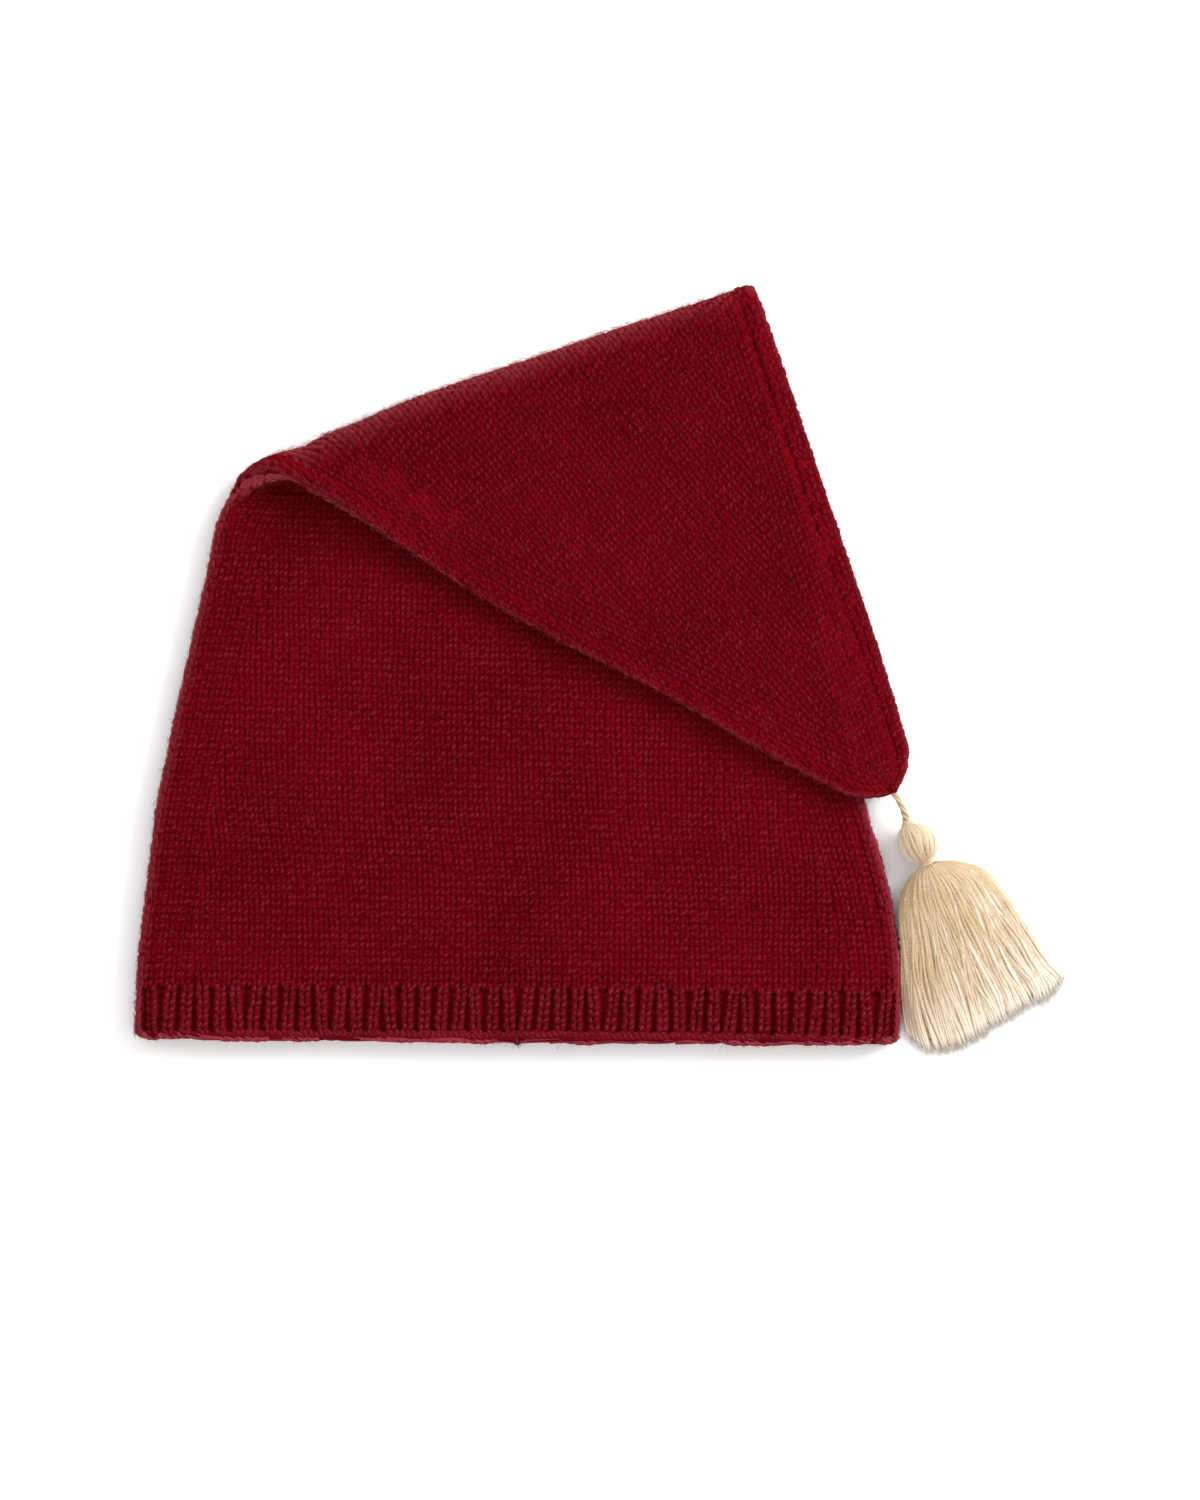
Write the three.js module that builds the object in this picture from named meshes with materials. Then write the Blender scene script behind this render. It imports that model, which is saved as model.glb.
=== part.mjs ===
import * as THREE from 'three';

// A knitted stocking cap with a tassel, in millimetres with +Z up. It lies flat on z = 0 with its
// mouth towards -Y, and its pointed upper half is folded over towards the viewer and the right.
// Two fashioned panels, sewn along both sides, are described flat and unfolded, then draped.

// ---- driving dimensions

const WALL = 2;                  // one knitted panel
const SEAM_GAP = 0.3;            // between the two panels where they are sewn
const SEAM_EDGE = 1.3;           // half the thickness of the cap at its sewn sides
const SIDE_ROUND = 5;            // how far in from a side the cap reaches its full thickness
const HALF_BODY = 4.75;          // half the thickness of the cap above its mouth
const HALF_FLAP = 2.45;          // the same where its upper half lies folded over
const THINNING = 75;             // the length over which the body thins towards the fold
const FLAP_THINNING = 40;        // the length over which the flap thins away from the fold
const SETTLING = 55;             // the length over which the flap comes down onto the body
const FLAP_CLEARANCE = 0.6;      // between the flap and the body that it lies on
const HANGOVER = 1.5;            // how far inside the body's right side the flap starts to sag
const SAG = 0.3;                 // its drop for each millimetre past that
const RIB_DEPTH = 17.4;          // the ribbed hem, from the edge of the mouth
const KNIT_GAP = 0.3;            // between the ribbed hem and the panels

const HEM_Y = -116.3;            // the edge of the mouth, midway between the sides
const HEM_TILT = -1;             // how much lower than that it lies at the right side
const TILT_HEIGHT = 200;         // the height at which that tilt has died away
const TIP_HEIGHT = 391;          // the point, above the hem, with the cap unfolded
const TIP_ROUND = 9;             // the length of the rounded point
const HEM_ROUND = 3.2;           // the radius of the hem's two lower corners

// The sides of the unfolded cap: x of each at a height above the hem.
const SIDES = [
  { height: 0, left: -146, right: 93.8 },
  { height: 25, left: -144.9, right: 94 },
  { height: 50, left: -142, right: 90.3 },
  { height: 75, left: -138.7, right: 83.2 },
  { height: 115, left: -130.4, right: 74 },
  { height: 150, left: -122.6, right: 67 },
  { height: 163, left: -120, right: 64.5 },
  { height: 173, left: -115, right: 62.5 },
  { height: 184, left: -108, right: 60.4 },
  { height: 196, left: -99.8, right: 57.8 },
  { height: 212, left: -94.7, right: 54.2 },
  { height: 235, left: -88, right: 48.6 },
  { height: 263, left: -79.5, right: 39.8 },
  { height: 290, left: -68, right: 30.6 },
  { height: 325, left: -51.4, right: 18.6 },
  { height: 355, left: -39.4, right: 8.3 },
  { height: 391, left: -22.8, right: -5.5 },
];

// The crest of the fold: a point on its line near the left side, and its direction. The roll is
// soft and thick at its left end, where the crest bows in, and tighter at its right end.
const CREST = new THREE.Vector2(-113.8, 67.4);
const CREST_ANGLE = THREE.MathUtils.degToRad(18.8);
const CREST_LENGTH = 171;
const ROLL = { left: 6.4, right: 4.6 };       // radius of the cap's middle
const HALF_ROLL = { left: 4.6, right: 3.1 };  // half the thickness of the cap there
const BOW = { depth: 2.6, from: 15, to: 62 };
const DENT = { depth: 1, at: 20, width: 5 };

// ---- the tassel

const TASSEL_NECK = new THREE.Vector2(102.5, -60.3);
const TASSEL_ANGLE = THREE.MathUtils.degToRad(-69);
const NECK_HEIGHT = 5.4;         // of its axis above the table
const HEAD = { width: 12.9, length: 13.4, centre: -7.2 };  // the ball, measured from the neck
const TIE = { ring: 3.75, yarn: 0.8, centre: 0.5 };
// The thread is clear of cap and head, and meets the head a little to the left of its axis.
const THREAD = { radius: 0.9, slack: 0.4, lift: 0.4, clear: 0.4, sideways: -1.1 };
const SKIRT_FLATTENING = 1.06;   // how much the top and underside of the skirt are flattened

// Sections of the skirt, at a distance from the neck: how far it spreads to the left and right of
// its axis, and the heights of its underside and its top.
const SKIRT = [
  { distance: -0.1, left: 2.5, right: 2.5, under: 2.9, over: 7.9 },
  { distance: 1.5, left: 2.5, right: 2.5, under: 2.9, over: 7.9 },
  { distance: 3.2, left: 7.4, right: 9.4, under: 0.4, over: 9.6 },
  { distance: 7, left: 11.2, right: 14.9, under: 0, over: 10.5 },
  { distance: 11, left: 13.4, right: 17.6, under: 0, over: 10.8 },
  { distance: 17, left: 15.5, right: 19.5, under: 0, over: 10.4 },
  { distance: 23, left: 17.4, right: 20.9, under: 0, over: 9.8 },
  { distance: 33, left: 21.2, right: 23.3, under: 0, over: 8.4 },
  { distance: 42, left: 23.6, right: 25.3, under: 0, over: 7.3 },
  { distance: 49.5, left: 24.4, right: 28, under: 0, over: 6 },
  { distance: 53.5, left: 23.6, right: 22.5, under: 0, over: 4.8 },
  { distance: 58.3, left: 18.6, right: 10, under: 0, over: 3.2 },
];

const WOOL_RED = new THREE.MeshStandardMaterial({ color: 0x6e0a1a, roughness: 0.95, metalness: 0 });
const WOOL_RIB = new THREE.MeshStandardMaterial({ color: 0x640815, roughness: 0.95, metalness: 0 });
const WOOL_CREAM = new THREE.MeshStandardMaterial({ color: 0xe0cba8, roughness: 0.95, metalness: 0 });

const { lerp, smoothstep } = THREE.MathUtils;

// ---- the flat pattern

// A smooth curve through one column of a table, against its first column.
function readTable(table, column, key, at) {
  let i = 0;
  while (i < table.length - 2 && at > table[i + 1][key]) i += 1;
  const slope = (k) => {
    const before = table[Math.max(k - 1, 0)];
    const after = table[Math.min(k + 1, table.length - 1)];
    return (after[column] - before[column]) / (after[key] - before[key]);
  };
  const span = table[i + 1][key] - table[i][key];
  const t = THREE.MathUtils.clamp((at - table[i][key]) / span, 0, 1);
  return (2 * t ** 3 - 3 * t ** 2 + 1) * table[i][column]
    + (t ** 3 - 2 * t ** 2 + t) * span * slope(i)
    + (3 * t ** 2 - 2 * t ** 3) * table[i + 1][column]
    + (t ** 3 - t ** 2) * span * slope(i + 1);
}

// The two sides at a height above the hem, drawn in to the rounded point and the hem's corners.
function sidesAt(height) {
  const left = readTable(SIDES, 'left', 'height', height);
  const right = readTable(SIDES, 'right', 'height', height);
  const past = Math.max(0, height - (TIP_HEIGHT - TIP_ROUND)) / TIP_ROUND;
  const below = Math.max(0, 1 - height / HEM_ROUND);
  const half = (right - left) / 2 * Math.sqrt(1 - past ** 2)
    - HEM_ROUND * (1 - Math.sqrt(1 - below ** 2));
  const middle = (left + right) / 2;
  return { left: middle - half, right: middle + half };
}

function patternPoint(x, height) {
  const tilt = HEM_TILT * (x - SIDES[0].left) / (SIDES[0].right - SIDES[0].left) * 2 - HEM_TILT;
  return new THREE.Vector2(x, HEM_Y + height + tilt * Math.max(0, 1 - height / TILT_HEIGHT));
}

// ---- the fold

const ALONG = new THREE.Vector2(Math.cos(CREST_ANGLE), Math.sin(CREST_ANGLE));
const ACROSS = new THREE.Vector2(-Math.sin(CREST_ANGLE), Math.cos(CREST_ANGLE));

// How far the crest lies inside its straight line, this far along it.
function bow(along) {
  const dent = DENT.depth * Math.exp(-(((along - DENT.at) / DENT.width) ** 2));
  return BOW.depth * (1 - smoothstep(along, BOW.from, BOW.to)) + dent;
}

// A flat point in the fold's own terms: how far along the crest it lies, the radius of the roll
// and half the cap's thickness there, and how far past the line where the cap starts to bend.
function foldTerms(point) {
  const fromCrest = point.clone().sub(CREST);
  const along = fromCrest.dot(ALONG);
  const share = THREE.MathUtils.clamp(along / CREST_LENGTH, 0, 1);
  const radius = lerp(ROLL.left, ROLL.right, share);
  const half = lerp(HALF_ROLL.left, HALF_ROLL.right, share);
  const start = -(radius + half) - bow(along);
  return { along, radius, half, start, past: fromCrest.dot(ACROSS) - start };
}

// Half the thickness of the cap at a flat point, away from its sides.
function halfThickness({ past, radius, half }) {
  if (past < 0) return lerp(half, HALF_BODY, smoothstep(-past, 0, THINNING));
  return lerp(half, HALF_FLAP, smoothstep(past - Math.PI * radius, 0, FLAP_THINNING));
}

function foldPoint(fold, across) {
  return CREST.clone().addScaledVector(ALONG, fold.along).addScaledVector(ACROSS, across);
}

// How far the flap's middle lies above the table, a given run past the roll.
function flapHeight(fold, run, place) {
  const body = halfThickness({ ...fold, past: -run });
  const resting = 2 * body + FLAP_CLEARANCE + HALF_FLAP;
  const bodySide = readTable(SIDES, 'right', 'height', place.y - HEM_Y);
  const sag = SAG * Math.max(0, place.x - bodySide + HANGOVER);
  return lerp(fold.half + 2 * fold.radius, resting, smoothstep(run, 0, SETTLING)) - sag;
}

// Where a point of the flat pattern lies once folded. Its offset from the middle of the cap is
// positive on the front panel's side, which the fold turns face down.
function drape(point, offset) {
  const fold = foldTerms(point);
  if (fold.past <= 0) return new THREE.Vector3(point.x, point.y, halfThickness(fold) + offset);
  const turn = Math.min(fold.past / fold.radius, Math.PI);
  if (turn < Math.PI) {
    const place = foldPoint(fold, fold.start + (fold.radius - offset) * Math.sin(turn));
    const height = fold.half + fold.radius - (fold.radius - offset) * Math.cos(turn);
    return new THREE.Vector3(place.x, place.y, height);
  }
  const run = fold.past - Math.PI * fold.radius;
  const place = foldPoint(fold, fold.start - run);
  return new THREE.Vector3(place.x, place.y, flapHeight(fold, run, place) - offset);
}

// ---- closed solids from grids of points

function solid(positions, triangles) {
  const geometry = new THREE.BufferGeometry();
  geometry.setAttribute('position', new THREE.Float32BufferAttribute(positions.flatMap((p) => [...p]), 3));
  geometry.setIndex(triangles.flat());
  geometry.computeVertexNormals();
  return geometry;
}

function quad(a, b, c, d) {
  return [[a, b, c], [a, c, d]];
}

// A slab between an outer and an inner grid of points, closed round its four edges. Rows run up,
// columns run to the right, and the outer grid faces the side that its rows and columns turn to.
function slab(outer, inner, flip) {
  const rows = outer.length;
  const columns = outer[0].length;
  const points = [...outer.flat(), ...inner.flat()];
  const at = (row, column, layer) => layer * rows * columns + row * columns + column;
  const faces = [];
  for (let r = 0; r < rows - 1; r += 1) {
    for (let c = 0; c < columns - 1; c += 1) {
      faces.push(...quad(at(r, c, 0), at(r, c + 1, 0), at(r + 1, c + 1, 0), at(r + 1, c, 0)));
      faces.push(...quad(at(r, c, 1), at(r + 1, c, 1), at(r + 1, c + 1, 1), at(r, c + 1, 1)));
    }
    faces.push(...quad(at(r, 0, 1), at(r, 0, 0), at(r + 1, 0, 0), at(r + 1, 0, 1)));
    const last = columns - 1;
    faces.push(...quad(at(r, last, 0), at(r, last, 1), at(r + 1, last, 1), at(r + 1, last, 0)));
  }
  for (let c = 0; c < columns - 1; c += 1) {
    faces.push(...quad(at(0, c, 1), at(0, c + 1, 1), at(0, c + 1, 0), at(0, c, 0)));
    const last = rows - 1;
    faces.push(...quad(at(last, c, 0), at(last, c + 1, 0), at(last, c + 1, 1), at(last, c, 1)));
  }
  if (flip) faces.forEach((face) => face.reverse());
  return solid(points, faces);
}

// ---- the two panels

const EDGE_STEPS = [0, 0.6, 1.9, SIDE_ROUND];  // columns near a side, as distances from it
const MIDDLE_COLUMNS = 7;
const BODY_ROWS = 6;
const ROLL_ROWS = 10;
const FLAP_ROWS = 11;
const FLAP_CROWDING = 1.8;                     // how much its rows crowd towards the point
const BLUNT = 0.4;                             // the panels stop this short of the very point

// The height at which a side meets the line that lies this far past the start of the fold, given
// as a share of the roll.
function heightAtFold(side, share) {
  let low = 0;
  let high = TIP_HEIGHT;
  for (let i = 0; i < 40; i += 1) {
    const height = (low + high) / 2;
    const fold = foldTerms(patternPoint(sidesAt(height)[side], height));
    if (fold.past > share * Math.PI * fold.radius) high = height;
    else low = height;
  }
  return low;
}

// The rows of a panel, each given by the heights where it meets the left and right sides. They
// are level at the hem and the point, and run along the fold where the cap bends.
function panelRows() {
  const hem = RIB_DEPTH + KNIT_GAP;
  const tip = TIP_HEIGHT - BLUNT;
  const foldRow = (share) => ({ left: heightAtFold('left', share), right: heightAtFold('right', share) });
  const between = (from, to, share) => ({
    left: lerp(from.left, to.left, share),
    right: lerp(from.right, to.right, share),
  });
  const rows = [];
  for (let i = 0; i < BODY_ROWS; i += 1) {
    rows.push(between({ left: hem, right: hem }, foldRow(0), i / BODY_ROWS));
  }
  for (let i = 0; i < ROLL_ROWS; i += 1) rows.push(foldRow(i / ROLL_ROWS));
  for (let i = 0; i <= FLAP_ROWS; i += 1) {
    const share = 1 - (1 - i / FLAP_ROWS) ** FLAP_CROWDING;
    rows.push(between(foldRow(1), { left: tip, right: tip }, share));
  }
  return rows;
}

// The points across one row of the pattern, each with its distance from the nearest side.
function rowPoints(row) {
  const left = patternPoint(sidesAt(row.left).left, row.left);
  const right = patternPoint(sidesAt(row.right).right, row.right);
  const width = left.distanceTo(right);
  const squeeze = Math.min(1, width / (2 * SIDE_ROUND + MIDDLE_COLUMNS));
  const insets = EDGE_STEPS.map((step) => step * squeeze);
  const middle = Array.from({ length: MIDDLE_COLUMNS }, (_, i) => (
    lerp(insets.at(-1), width - insets.at(-1), (i + 1) / (MIDDLE_COLUMNS + 1))
  ));
  const distances = [...insets, ...middle, ...insets.map((inset) => width - inset).reverse()];
  return distances.map((distance) => ({
    point: left.clone().lerp(right, distance / width),
    inset: Math.min(distance, width - distance),
  }));
}

// How far the outer face of a panel lies from the middle of the cap: a rounded side, then flat.
function outerOffset(point, inset) {
  const rise = Math.sqrt(1 - (1 - Math.min(inset / SIDE_ROUND, 1)) ** 2);
  return lerp(SEAM_EDGE, halfThickness(foldTerms(point)), rise);
}

function panel(side) {
  const rows = panelRows().map(rowPoints);
  const outer = rows.map((row) => row.map(({ point, inset }) => (
    drape(point, side * outerOffset(point, inset))
  )));
  const inner = rows.map((row) => row.map(({ point, inset }) => (
    drape(point, side * Math.max(outerOffset(point, inset) - WALL, SEAM_GAP / 2))
  )));
  return slab(outer, inner, side < 0);
}

// ---- the ribbed hem

const RIB_HEIGHTS = [0, 0.5, 1.5, HEM_ROUND, RIB_DEPTH];
const RIB_COLUMNS = 12;
const RIB_ROUND_STEPS = 4;       // in each quarter turn round its two sides

// Once round the hem at a height, in from its outer face by an inset: over the front from the left
// side to the right, and back underneath.
function ribLoop(height, inset) {
  const { left, right } = sidesAt(height);
  const round = SIDE_ROUND - inset;
  const thick = HALF_BODY - inset;
  const loop = [];
  const add = (x, z) => {
    const place = patternPoint(x, height);
    loop.push(new THREE.Vector3(place.x, place.y, HALF_BODY + z));
  };
  const quarterTurn = (i) => i * Math.PI / (2 * RIB_ROUND_STEPS);
  for (let i = 0; i < RIB_ROUND_STEPS; i += 1) {
    const turn = quarterTurn(i);
    add(left + inset + round * (1 - Math.cos(turn)), thick * Math.sin(turn));
  }
  for (let i = 0; i <= RIB_COLUMNS; i += 1) {
    add(lerp(left + inset + round, right - inset - round, i / RIB_COLUMNS), thick);
  }
  for (let i = 1; i < 2 * RIB_ROUND_STEPS; i += 1) {
    const turn = quarterTurn(i);
    add(right - inset - round * (1 - Math.sin(turn)), thick * Math.cos(turn));
  }
  for (let i = 0; i <= RIB_COLUMNS; i += 1) {
    add(lerp(right - inset - round, left + inset + round, i / RIB_COLUMNS), -thick);
  }
  for (let i = 1; i < RIB_ROUND_STEPS; i += 1) {
    const turn = quarterTurn(i);
    add(left + inset + round * (1 - Math.sin(turn)), -thick * Math.cos(turn));
  }
  return loop;
}

function ribBand() {
  const outer = RIB_HEIGHTS.map((height) => ribLoop(height, 0));
  const inner = RIB_HEIGHTS.map((height) => ribLoop(height, WALL));
  const count = outer[0].length;
  const points = [...outer.flat(), ...inner.flat()];
  const rows = RIB_HEIGHTS.length;
  const at = (row, i, layer) => (layer * rows + row) * count + (i % count);
  const faces = [];
  for (let i = 0; i < count; i += 1) {
    for (let r = 0; r < rows - 1; r += 1) {
      faces.push(...quad(at(r, i, 0), at(r, i + 1, 0), at(r + 1, i + 1, 0), at(r + 1, i, 0)));
      faces.push(...quad(at(r, i, 1), at(r + 1, i, 1), at(r + 1, i + 1, 1), at(r, i + 1, 1)));
    }
    const top = rows - 1;
    faces.push(...quad(at(0, i, 1), at(0, i + 1, 1), at(0, i + 1, 0), at(0, i, 0)));
    faces.push(...quad(at(top, i, 0), at(top, i + 1, 0), at(top, i + 1, 1), at(top, i, 1)));
  }
  return solid(points, faces);
}

// ---- the tassel's pieces

const TASSEL_SIDES = 18;
const HEAD_RINGS = 12;
const YARN_SIDES = 6;
const THREAD_SIDES = 8;
const THREAD_STEPS = 6;

const DOWN_TASSEL = new THREE.Vector2(Math.cos(TASSEL_ANGLE), Math.sin(TASSEL_ANGLE));
const RIGHT_OF_TASSEL = new THREE.Vector2(-DOWN_TASSEL.y, DOWN_TASSEL.x);

function tasselPoint(distance, sideways, height) {
  const place = TASSEL_NECK.clone()
    .addScaledVector(DOWN_TASSEL, distance)
    .addScaledVector(RIGHT_OF_TASSEL, sideways);
  return new THREE.Vector3(place.x, place.y, height);
}

// A ball a little longer than it is wide, whose poles lie on the tassel's axis.
function tasselHead() {
  const ball = new THREE.SphereGeometry(HEAD.width / 2, TASSEL_SIDES, HEAD_RINGS);
  ball.scale(1, HEAD.length / HEAD.width, 1);
  ball.rotateZ(TASSEL_ANGLE - Math.PI / 2);
  return ball;
}

function tasselTie() {
  const ring = new THREE.TorusGeometry(TIE.ring, TIE.yarn, YARN_SIDES, TASSEL_SIDES);
  ring.rotateY(Math.PI / 2);
  ring.rotateZ(TASSEL_ANGLE);
  return ring;
}

// A section of the skirt: nearly an ellipse, squarer towards the table that it lies on.
function skirtSection(section) {
  const middle = (section.under + section.over) / 2;
  const half = (section.over - section.under) / 2;
  return Array.from({ length: TASSEL_SIDES }, (_, i) => {
    const turn = 2 * Math.PI * (i + 0.5) / TASSEL_SIDES;
    const spread = Math.cos(turn) > 0 ? section.right : section.left;
    const lift = Math.sign(Math.sin(turn)) * Math.min(1, Math.abs(Math.sin(turn)) * SKIRT_FLATTENING);
    return tasselPoint(section.distance, spread * Math.cos(turn), middle + half * lift);
  });
}

function tasselSkirt() {
  const rings = SKIRT.map(skirtSection);
  const ends = [rings[0], rings.at(-1)].map((ring) => (
    ring.reduce((sum, p) => sum.add(p), new THREE.Vector3()).divideScalar(TASSEL_SIDES)
  ));
  const points = [...rings.flat(), ...ends];
  const at = (ring, i) => ring * TASSEL_SIDES + (i % TASSEL_SIDES);
  const last = rings.length - 1;
  const faces = [];
  for (let i = 0; i < TASSEL_SIDES; i += 1) {
    for (let r = 0; r < last; r += 1) {
      faces.push(...quad(at(r, i), at(r, i + 1), at(r + 1, i + 1), at(r + 1, i)));
    }
    faces.push([points.length - 2, at(0, i + 1), at(0, i)]);
    faces.push([points.length - 1, at(last, i), at(last, i + 1)]);
  }
  return solid(points, faces);
}

// The thread from the point of the cap to the top of the tassel's head, bowed a little.
function tasselThread() {
  const tip = drape(patternPoint(sidesAt(TIP_HEIGHT).right, TIP_HEIGHT), 0);
  const above = HEAD.centre - HEAD.length / 2 - THREAD.clear;
  const top = tasselPoint(above, THREAD.sideways, HEAD.width / 2);
  const middle = tip.clone().lerp(top, 0.5).add(new THREE.Vector3(THREAD.slack, 0, THREAD.lift));
  const start = tip.clone().lerp(middle, THREAD.clear / tip.distanceTo(middle));
  const route = new THREE.CatmullRomCurve3([start, middle, top]);
  const section = new THREE.Shape(Array.from({ length: THREAD_SIDES }, (_, i) => (
    new THREE.Vector2(THREAD.radius, 0)
      .rotateAround(new THREE.Vector2(), 2 * Math.PI * i / THREAD_SIDES)
  )));
  const options = { steps: THREAD_STEPS, extrudePath: route, bevelEnabled: false };
  return new THREE.ExtrudeGeometry(section, options);
}

// ---- the cap

function add(group, name, geometry, material, place = new THREE.Vector3()) {
  const mesh = new THREE.Mesh(geometry, material);
  mesh.name = name;
  mesh.position.copy(place);
  group.add(mesh);
}

const cap = new THREE.Group();
add(cap, 'front_panel', panel(1), WOOL_RED);
add(cap, 'back_panel', panel(-1), WOOL_RED);
add(cap, 'rib_band', ribBand(), WOOL_RIB);
add(cap, 'tassel_thread', tasselThread(), WOOL_CREAM);
add(cap, 'tassel_head', tasselHead(), WOOL_CREAM, tasselPoint(HEAD.centre, 0, HEAD.width / 2));
add(cap, 'tassel_tie', tasselTie(), WOOL_CREAM, tasselPoint(TIE.centre, 0, NECK_HEIGHT));
add(cap, 'tassel_skirt', tasselSkirt(), WOOL_CREAM);

export default cap;
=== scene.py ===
import math

import bpy
import numpy as np
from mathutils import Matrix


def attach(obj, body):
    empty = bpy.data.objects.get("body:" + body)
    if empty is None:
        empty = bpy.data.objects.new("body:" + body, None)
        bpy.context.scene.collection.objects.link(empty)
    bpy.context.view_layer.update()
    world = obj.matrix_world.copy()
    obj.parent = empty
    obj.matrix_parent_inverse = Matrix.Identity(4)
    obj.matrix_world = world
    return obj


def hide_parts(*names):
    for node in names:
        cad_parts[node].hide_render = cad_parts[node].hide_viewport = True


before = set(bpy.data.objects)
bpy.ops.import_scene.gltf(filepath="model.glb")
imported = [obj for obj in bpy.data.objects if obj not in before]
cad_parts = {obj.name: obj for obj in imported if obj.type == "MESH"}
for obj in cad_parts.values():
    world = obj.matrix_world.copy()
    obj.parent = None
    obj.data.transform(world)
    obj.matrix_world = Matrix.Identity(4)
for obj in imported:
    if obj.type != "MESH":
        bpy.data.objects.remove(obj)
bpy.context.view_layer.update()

# A knitted wool stocking cap with a tassel, lying flat with its upper half folded over.
# Sizes are in millimetres until a mesh is made, and +Z is up. The flat pattern and its fold are
# the CAD model's own, and the knitting is laid on them stitch by stitch.

RNG = np.random.default_rng(7)

# ---- the cap's shape, as the CAD model has it

WALL = 2.0
SEAM_EDGE = 1.3          # half the cap's thickness at its sewn sides
SEAM_GAP = 0.3
SIDE_ROUND = 5.0         # how far in from a side the cap reaches its full thickness
HALF_BODY = 4.75
HALF_FLAP = 2.45
THINNING = 75.0          # how far below the fold the body reaches its full thickness
FLAP_THINNING = 40.0     # how far past the fold the flap is down to its own
SETTLING = 55.0          # how far past the fold the flap comes to rest on the body
FLAP_CLEARANCE = 0.6
HANGOVER = 1.5           # how far inside the body's right side the flap starts to sag
SAG = 0.3                # and how much lower it lies for each millimetre past that
RIB_DEPTH = 17.4
KNIT_GAP = 0.3
HEM_Y = -116.3
HEM_TILT = -1.0          # place of the hem's right end against its middle; its left end mirrors it
TILT_HEIGHT = 200.0      # the height at which that has faded out
TIP_HEIGHT = 391.0
TIP_ROUND = 9.0
TIP_BLUNT = 0.4
HEM_ROUND = 3.2          # radius of the hem's two lower corners
MOST_LEAN = 1.6          # the most that a leaning side spreads what lies along it

# height above the hem, then x of the left and right sides of the unfolded cap
SIDES = np.array([
    (0, -146, 93.8), (25, -144.9, 94), (50, -142, 90.3), (75, -138.7, 83.2),
    (115, -130.4, 74), (150, -122.6, 67), (163, -120, 64.5), (173, -115, 62.5),
    (184, -108, 60.4), (196, -99.8, 57.8), (212, -94.7, 54.2), (235, -88, 48.6),
    (263, -79.5, 39.8), (290, -68, 30.6), (325, -51.4, 18.6), (355, -39.4, 8.3),
    (391, -22.8, -5.5),
])
CREST = np.array([-113.8, 67.4])  # the fold's left end
CREST_ANGLE = math.radians(18.8)
CREST_LENGTH = 171.0
ROLL = (6.4, 4.6)        # radius of the cap's middle round the fold, at its left and right ends
HALF_ROLL = (4.6, 3.1)
# The crest bows down towards its left end, and has a dent there.
BOW_DEPTH, BOW_FROM, BOW_TO = 2.6, 15.0, 62.0
DENT_DEPTH, DENT_AT, DENT_WIDTH = 1.0, 20.0, 5.0
POCKET = (-99.0, 60.0)   # the middle of the dip in the front, under the fold's left end
POCKET_DEPTH, POCKET_SIZE = 3.8, (12.0, 6.5)
POCKET_SIDE = (1, 6)     # how far in from a side that dip fades in
SOFTNESS = 0.11          # height of each of the loose fabric's waves
SOFT_SIDE = (2, 9)       # how far in from a side they fade in
ALONG = np.array([math.cos(CREST_ANGLE), math.sin(CREST_ANGLE)])
ACROSS = np.array([-math.sin(CREST_ANGLE), math.cos(CREST_ANGLE)])

# ---- the knitting

WALE = 3.33              # one stitch across: 30 stitches to 10 cm
ROW = 2.4                # one stitch high: about 41 rows to 10 cm
BAND_WALES = 4           # fashioned wales that run along each side, inside the seam
RIBS = 46                # across each panel's hem
RIB_ROWS = 7
GROOVE_DEPTH = 1.5
GROOVE_WIDTH = 0.9
GROOVE_UNEVEN = 0.35
RIB_RELIEF = 1.15        # how far the ribs stand above the purl columns between them
RIB_DIP = 2.6            # the larger, the narrower the dips between ribs
RIB_FADE = 2.2           # how far above and below the hem's upper edge the dips fade out
FADE_UNEVEN = 1.3        # and how much each dip's end differs
LIP_DIP, LIP_RISE = 0.35, (0.5, 4)  # how deep they are at the hem's edge, and where that ends
RIB_STRAY, RIB_SMALL_STRAY = 0.10, 0.07  # how far ribs lean, in ribs
RIB_PIVOT = 8            # the height at which every rib is in its place
DIP_FOLLOWS = 0.9        # how much of a rib's lean the dips beside it have
FRONT, BACK = 1, -1

# height above the hem, then how far in from the left and right sides the seam's groove lies
GROOVES = np.array([
    (0, 3.4, 4.4), (100, 3.4, 4.3), (195, 3.6, 5.0), (240, 4.3, 5.8), (300, 3.6, 6.2),
    (350, 3.2, 5.4), (391, 2.2, 3.2),
])


def read_table(table, column, at):
    """A smooth curve through one column of a table, against its first column."""
    keys, values = table[:, 0], table[:, column]
    before = np.maximum(np.arange(len(keys)) - 1, 0)
    after = np.minimum(np.arange(len(keys)) + 1, len(keys) - 1)
    slopes = (values[after] - values[before]) / (keys[after] - keys[before])
    i = np.clip(np.searchsorted(keys, at, side="left") - 1, 0, len(keys) - 2)
    span = keys[i + 1] - keys[i]
    t = np.clip((at - keys[i]) / span, 0, 1)
    return ((2 * t**3 - 3 * t**2 + 1) * values[i] + (t**3 - 2 * t**2 + t) * span * slopes[i]
            + (3 * t**2 - 2 * t**3) * values[i + 1] + (t**3 - t**2) * span * slopes[i + 1])


def smoothstep(value, low, high):
    """0 up to low, 1 from high on, and smooth between."""
    t = np.clip((value - low) / (high - low), 0, 1)
    return t * t * (3 - 2 * t)


def blend(a, b, share):
    """The place this share of the way from a to b."""
    return a + (b - a) * share


def unit(vectors):
    """The same directions, each of length one."""
    return vectors / np.maximum(np.linalg.norm(vectors, axis=-1, keepdims=True), 1e-9)


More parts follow.
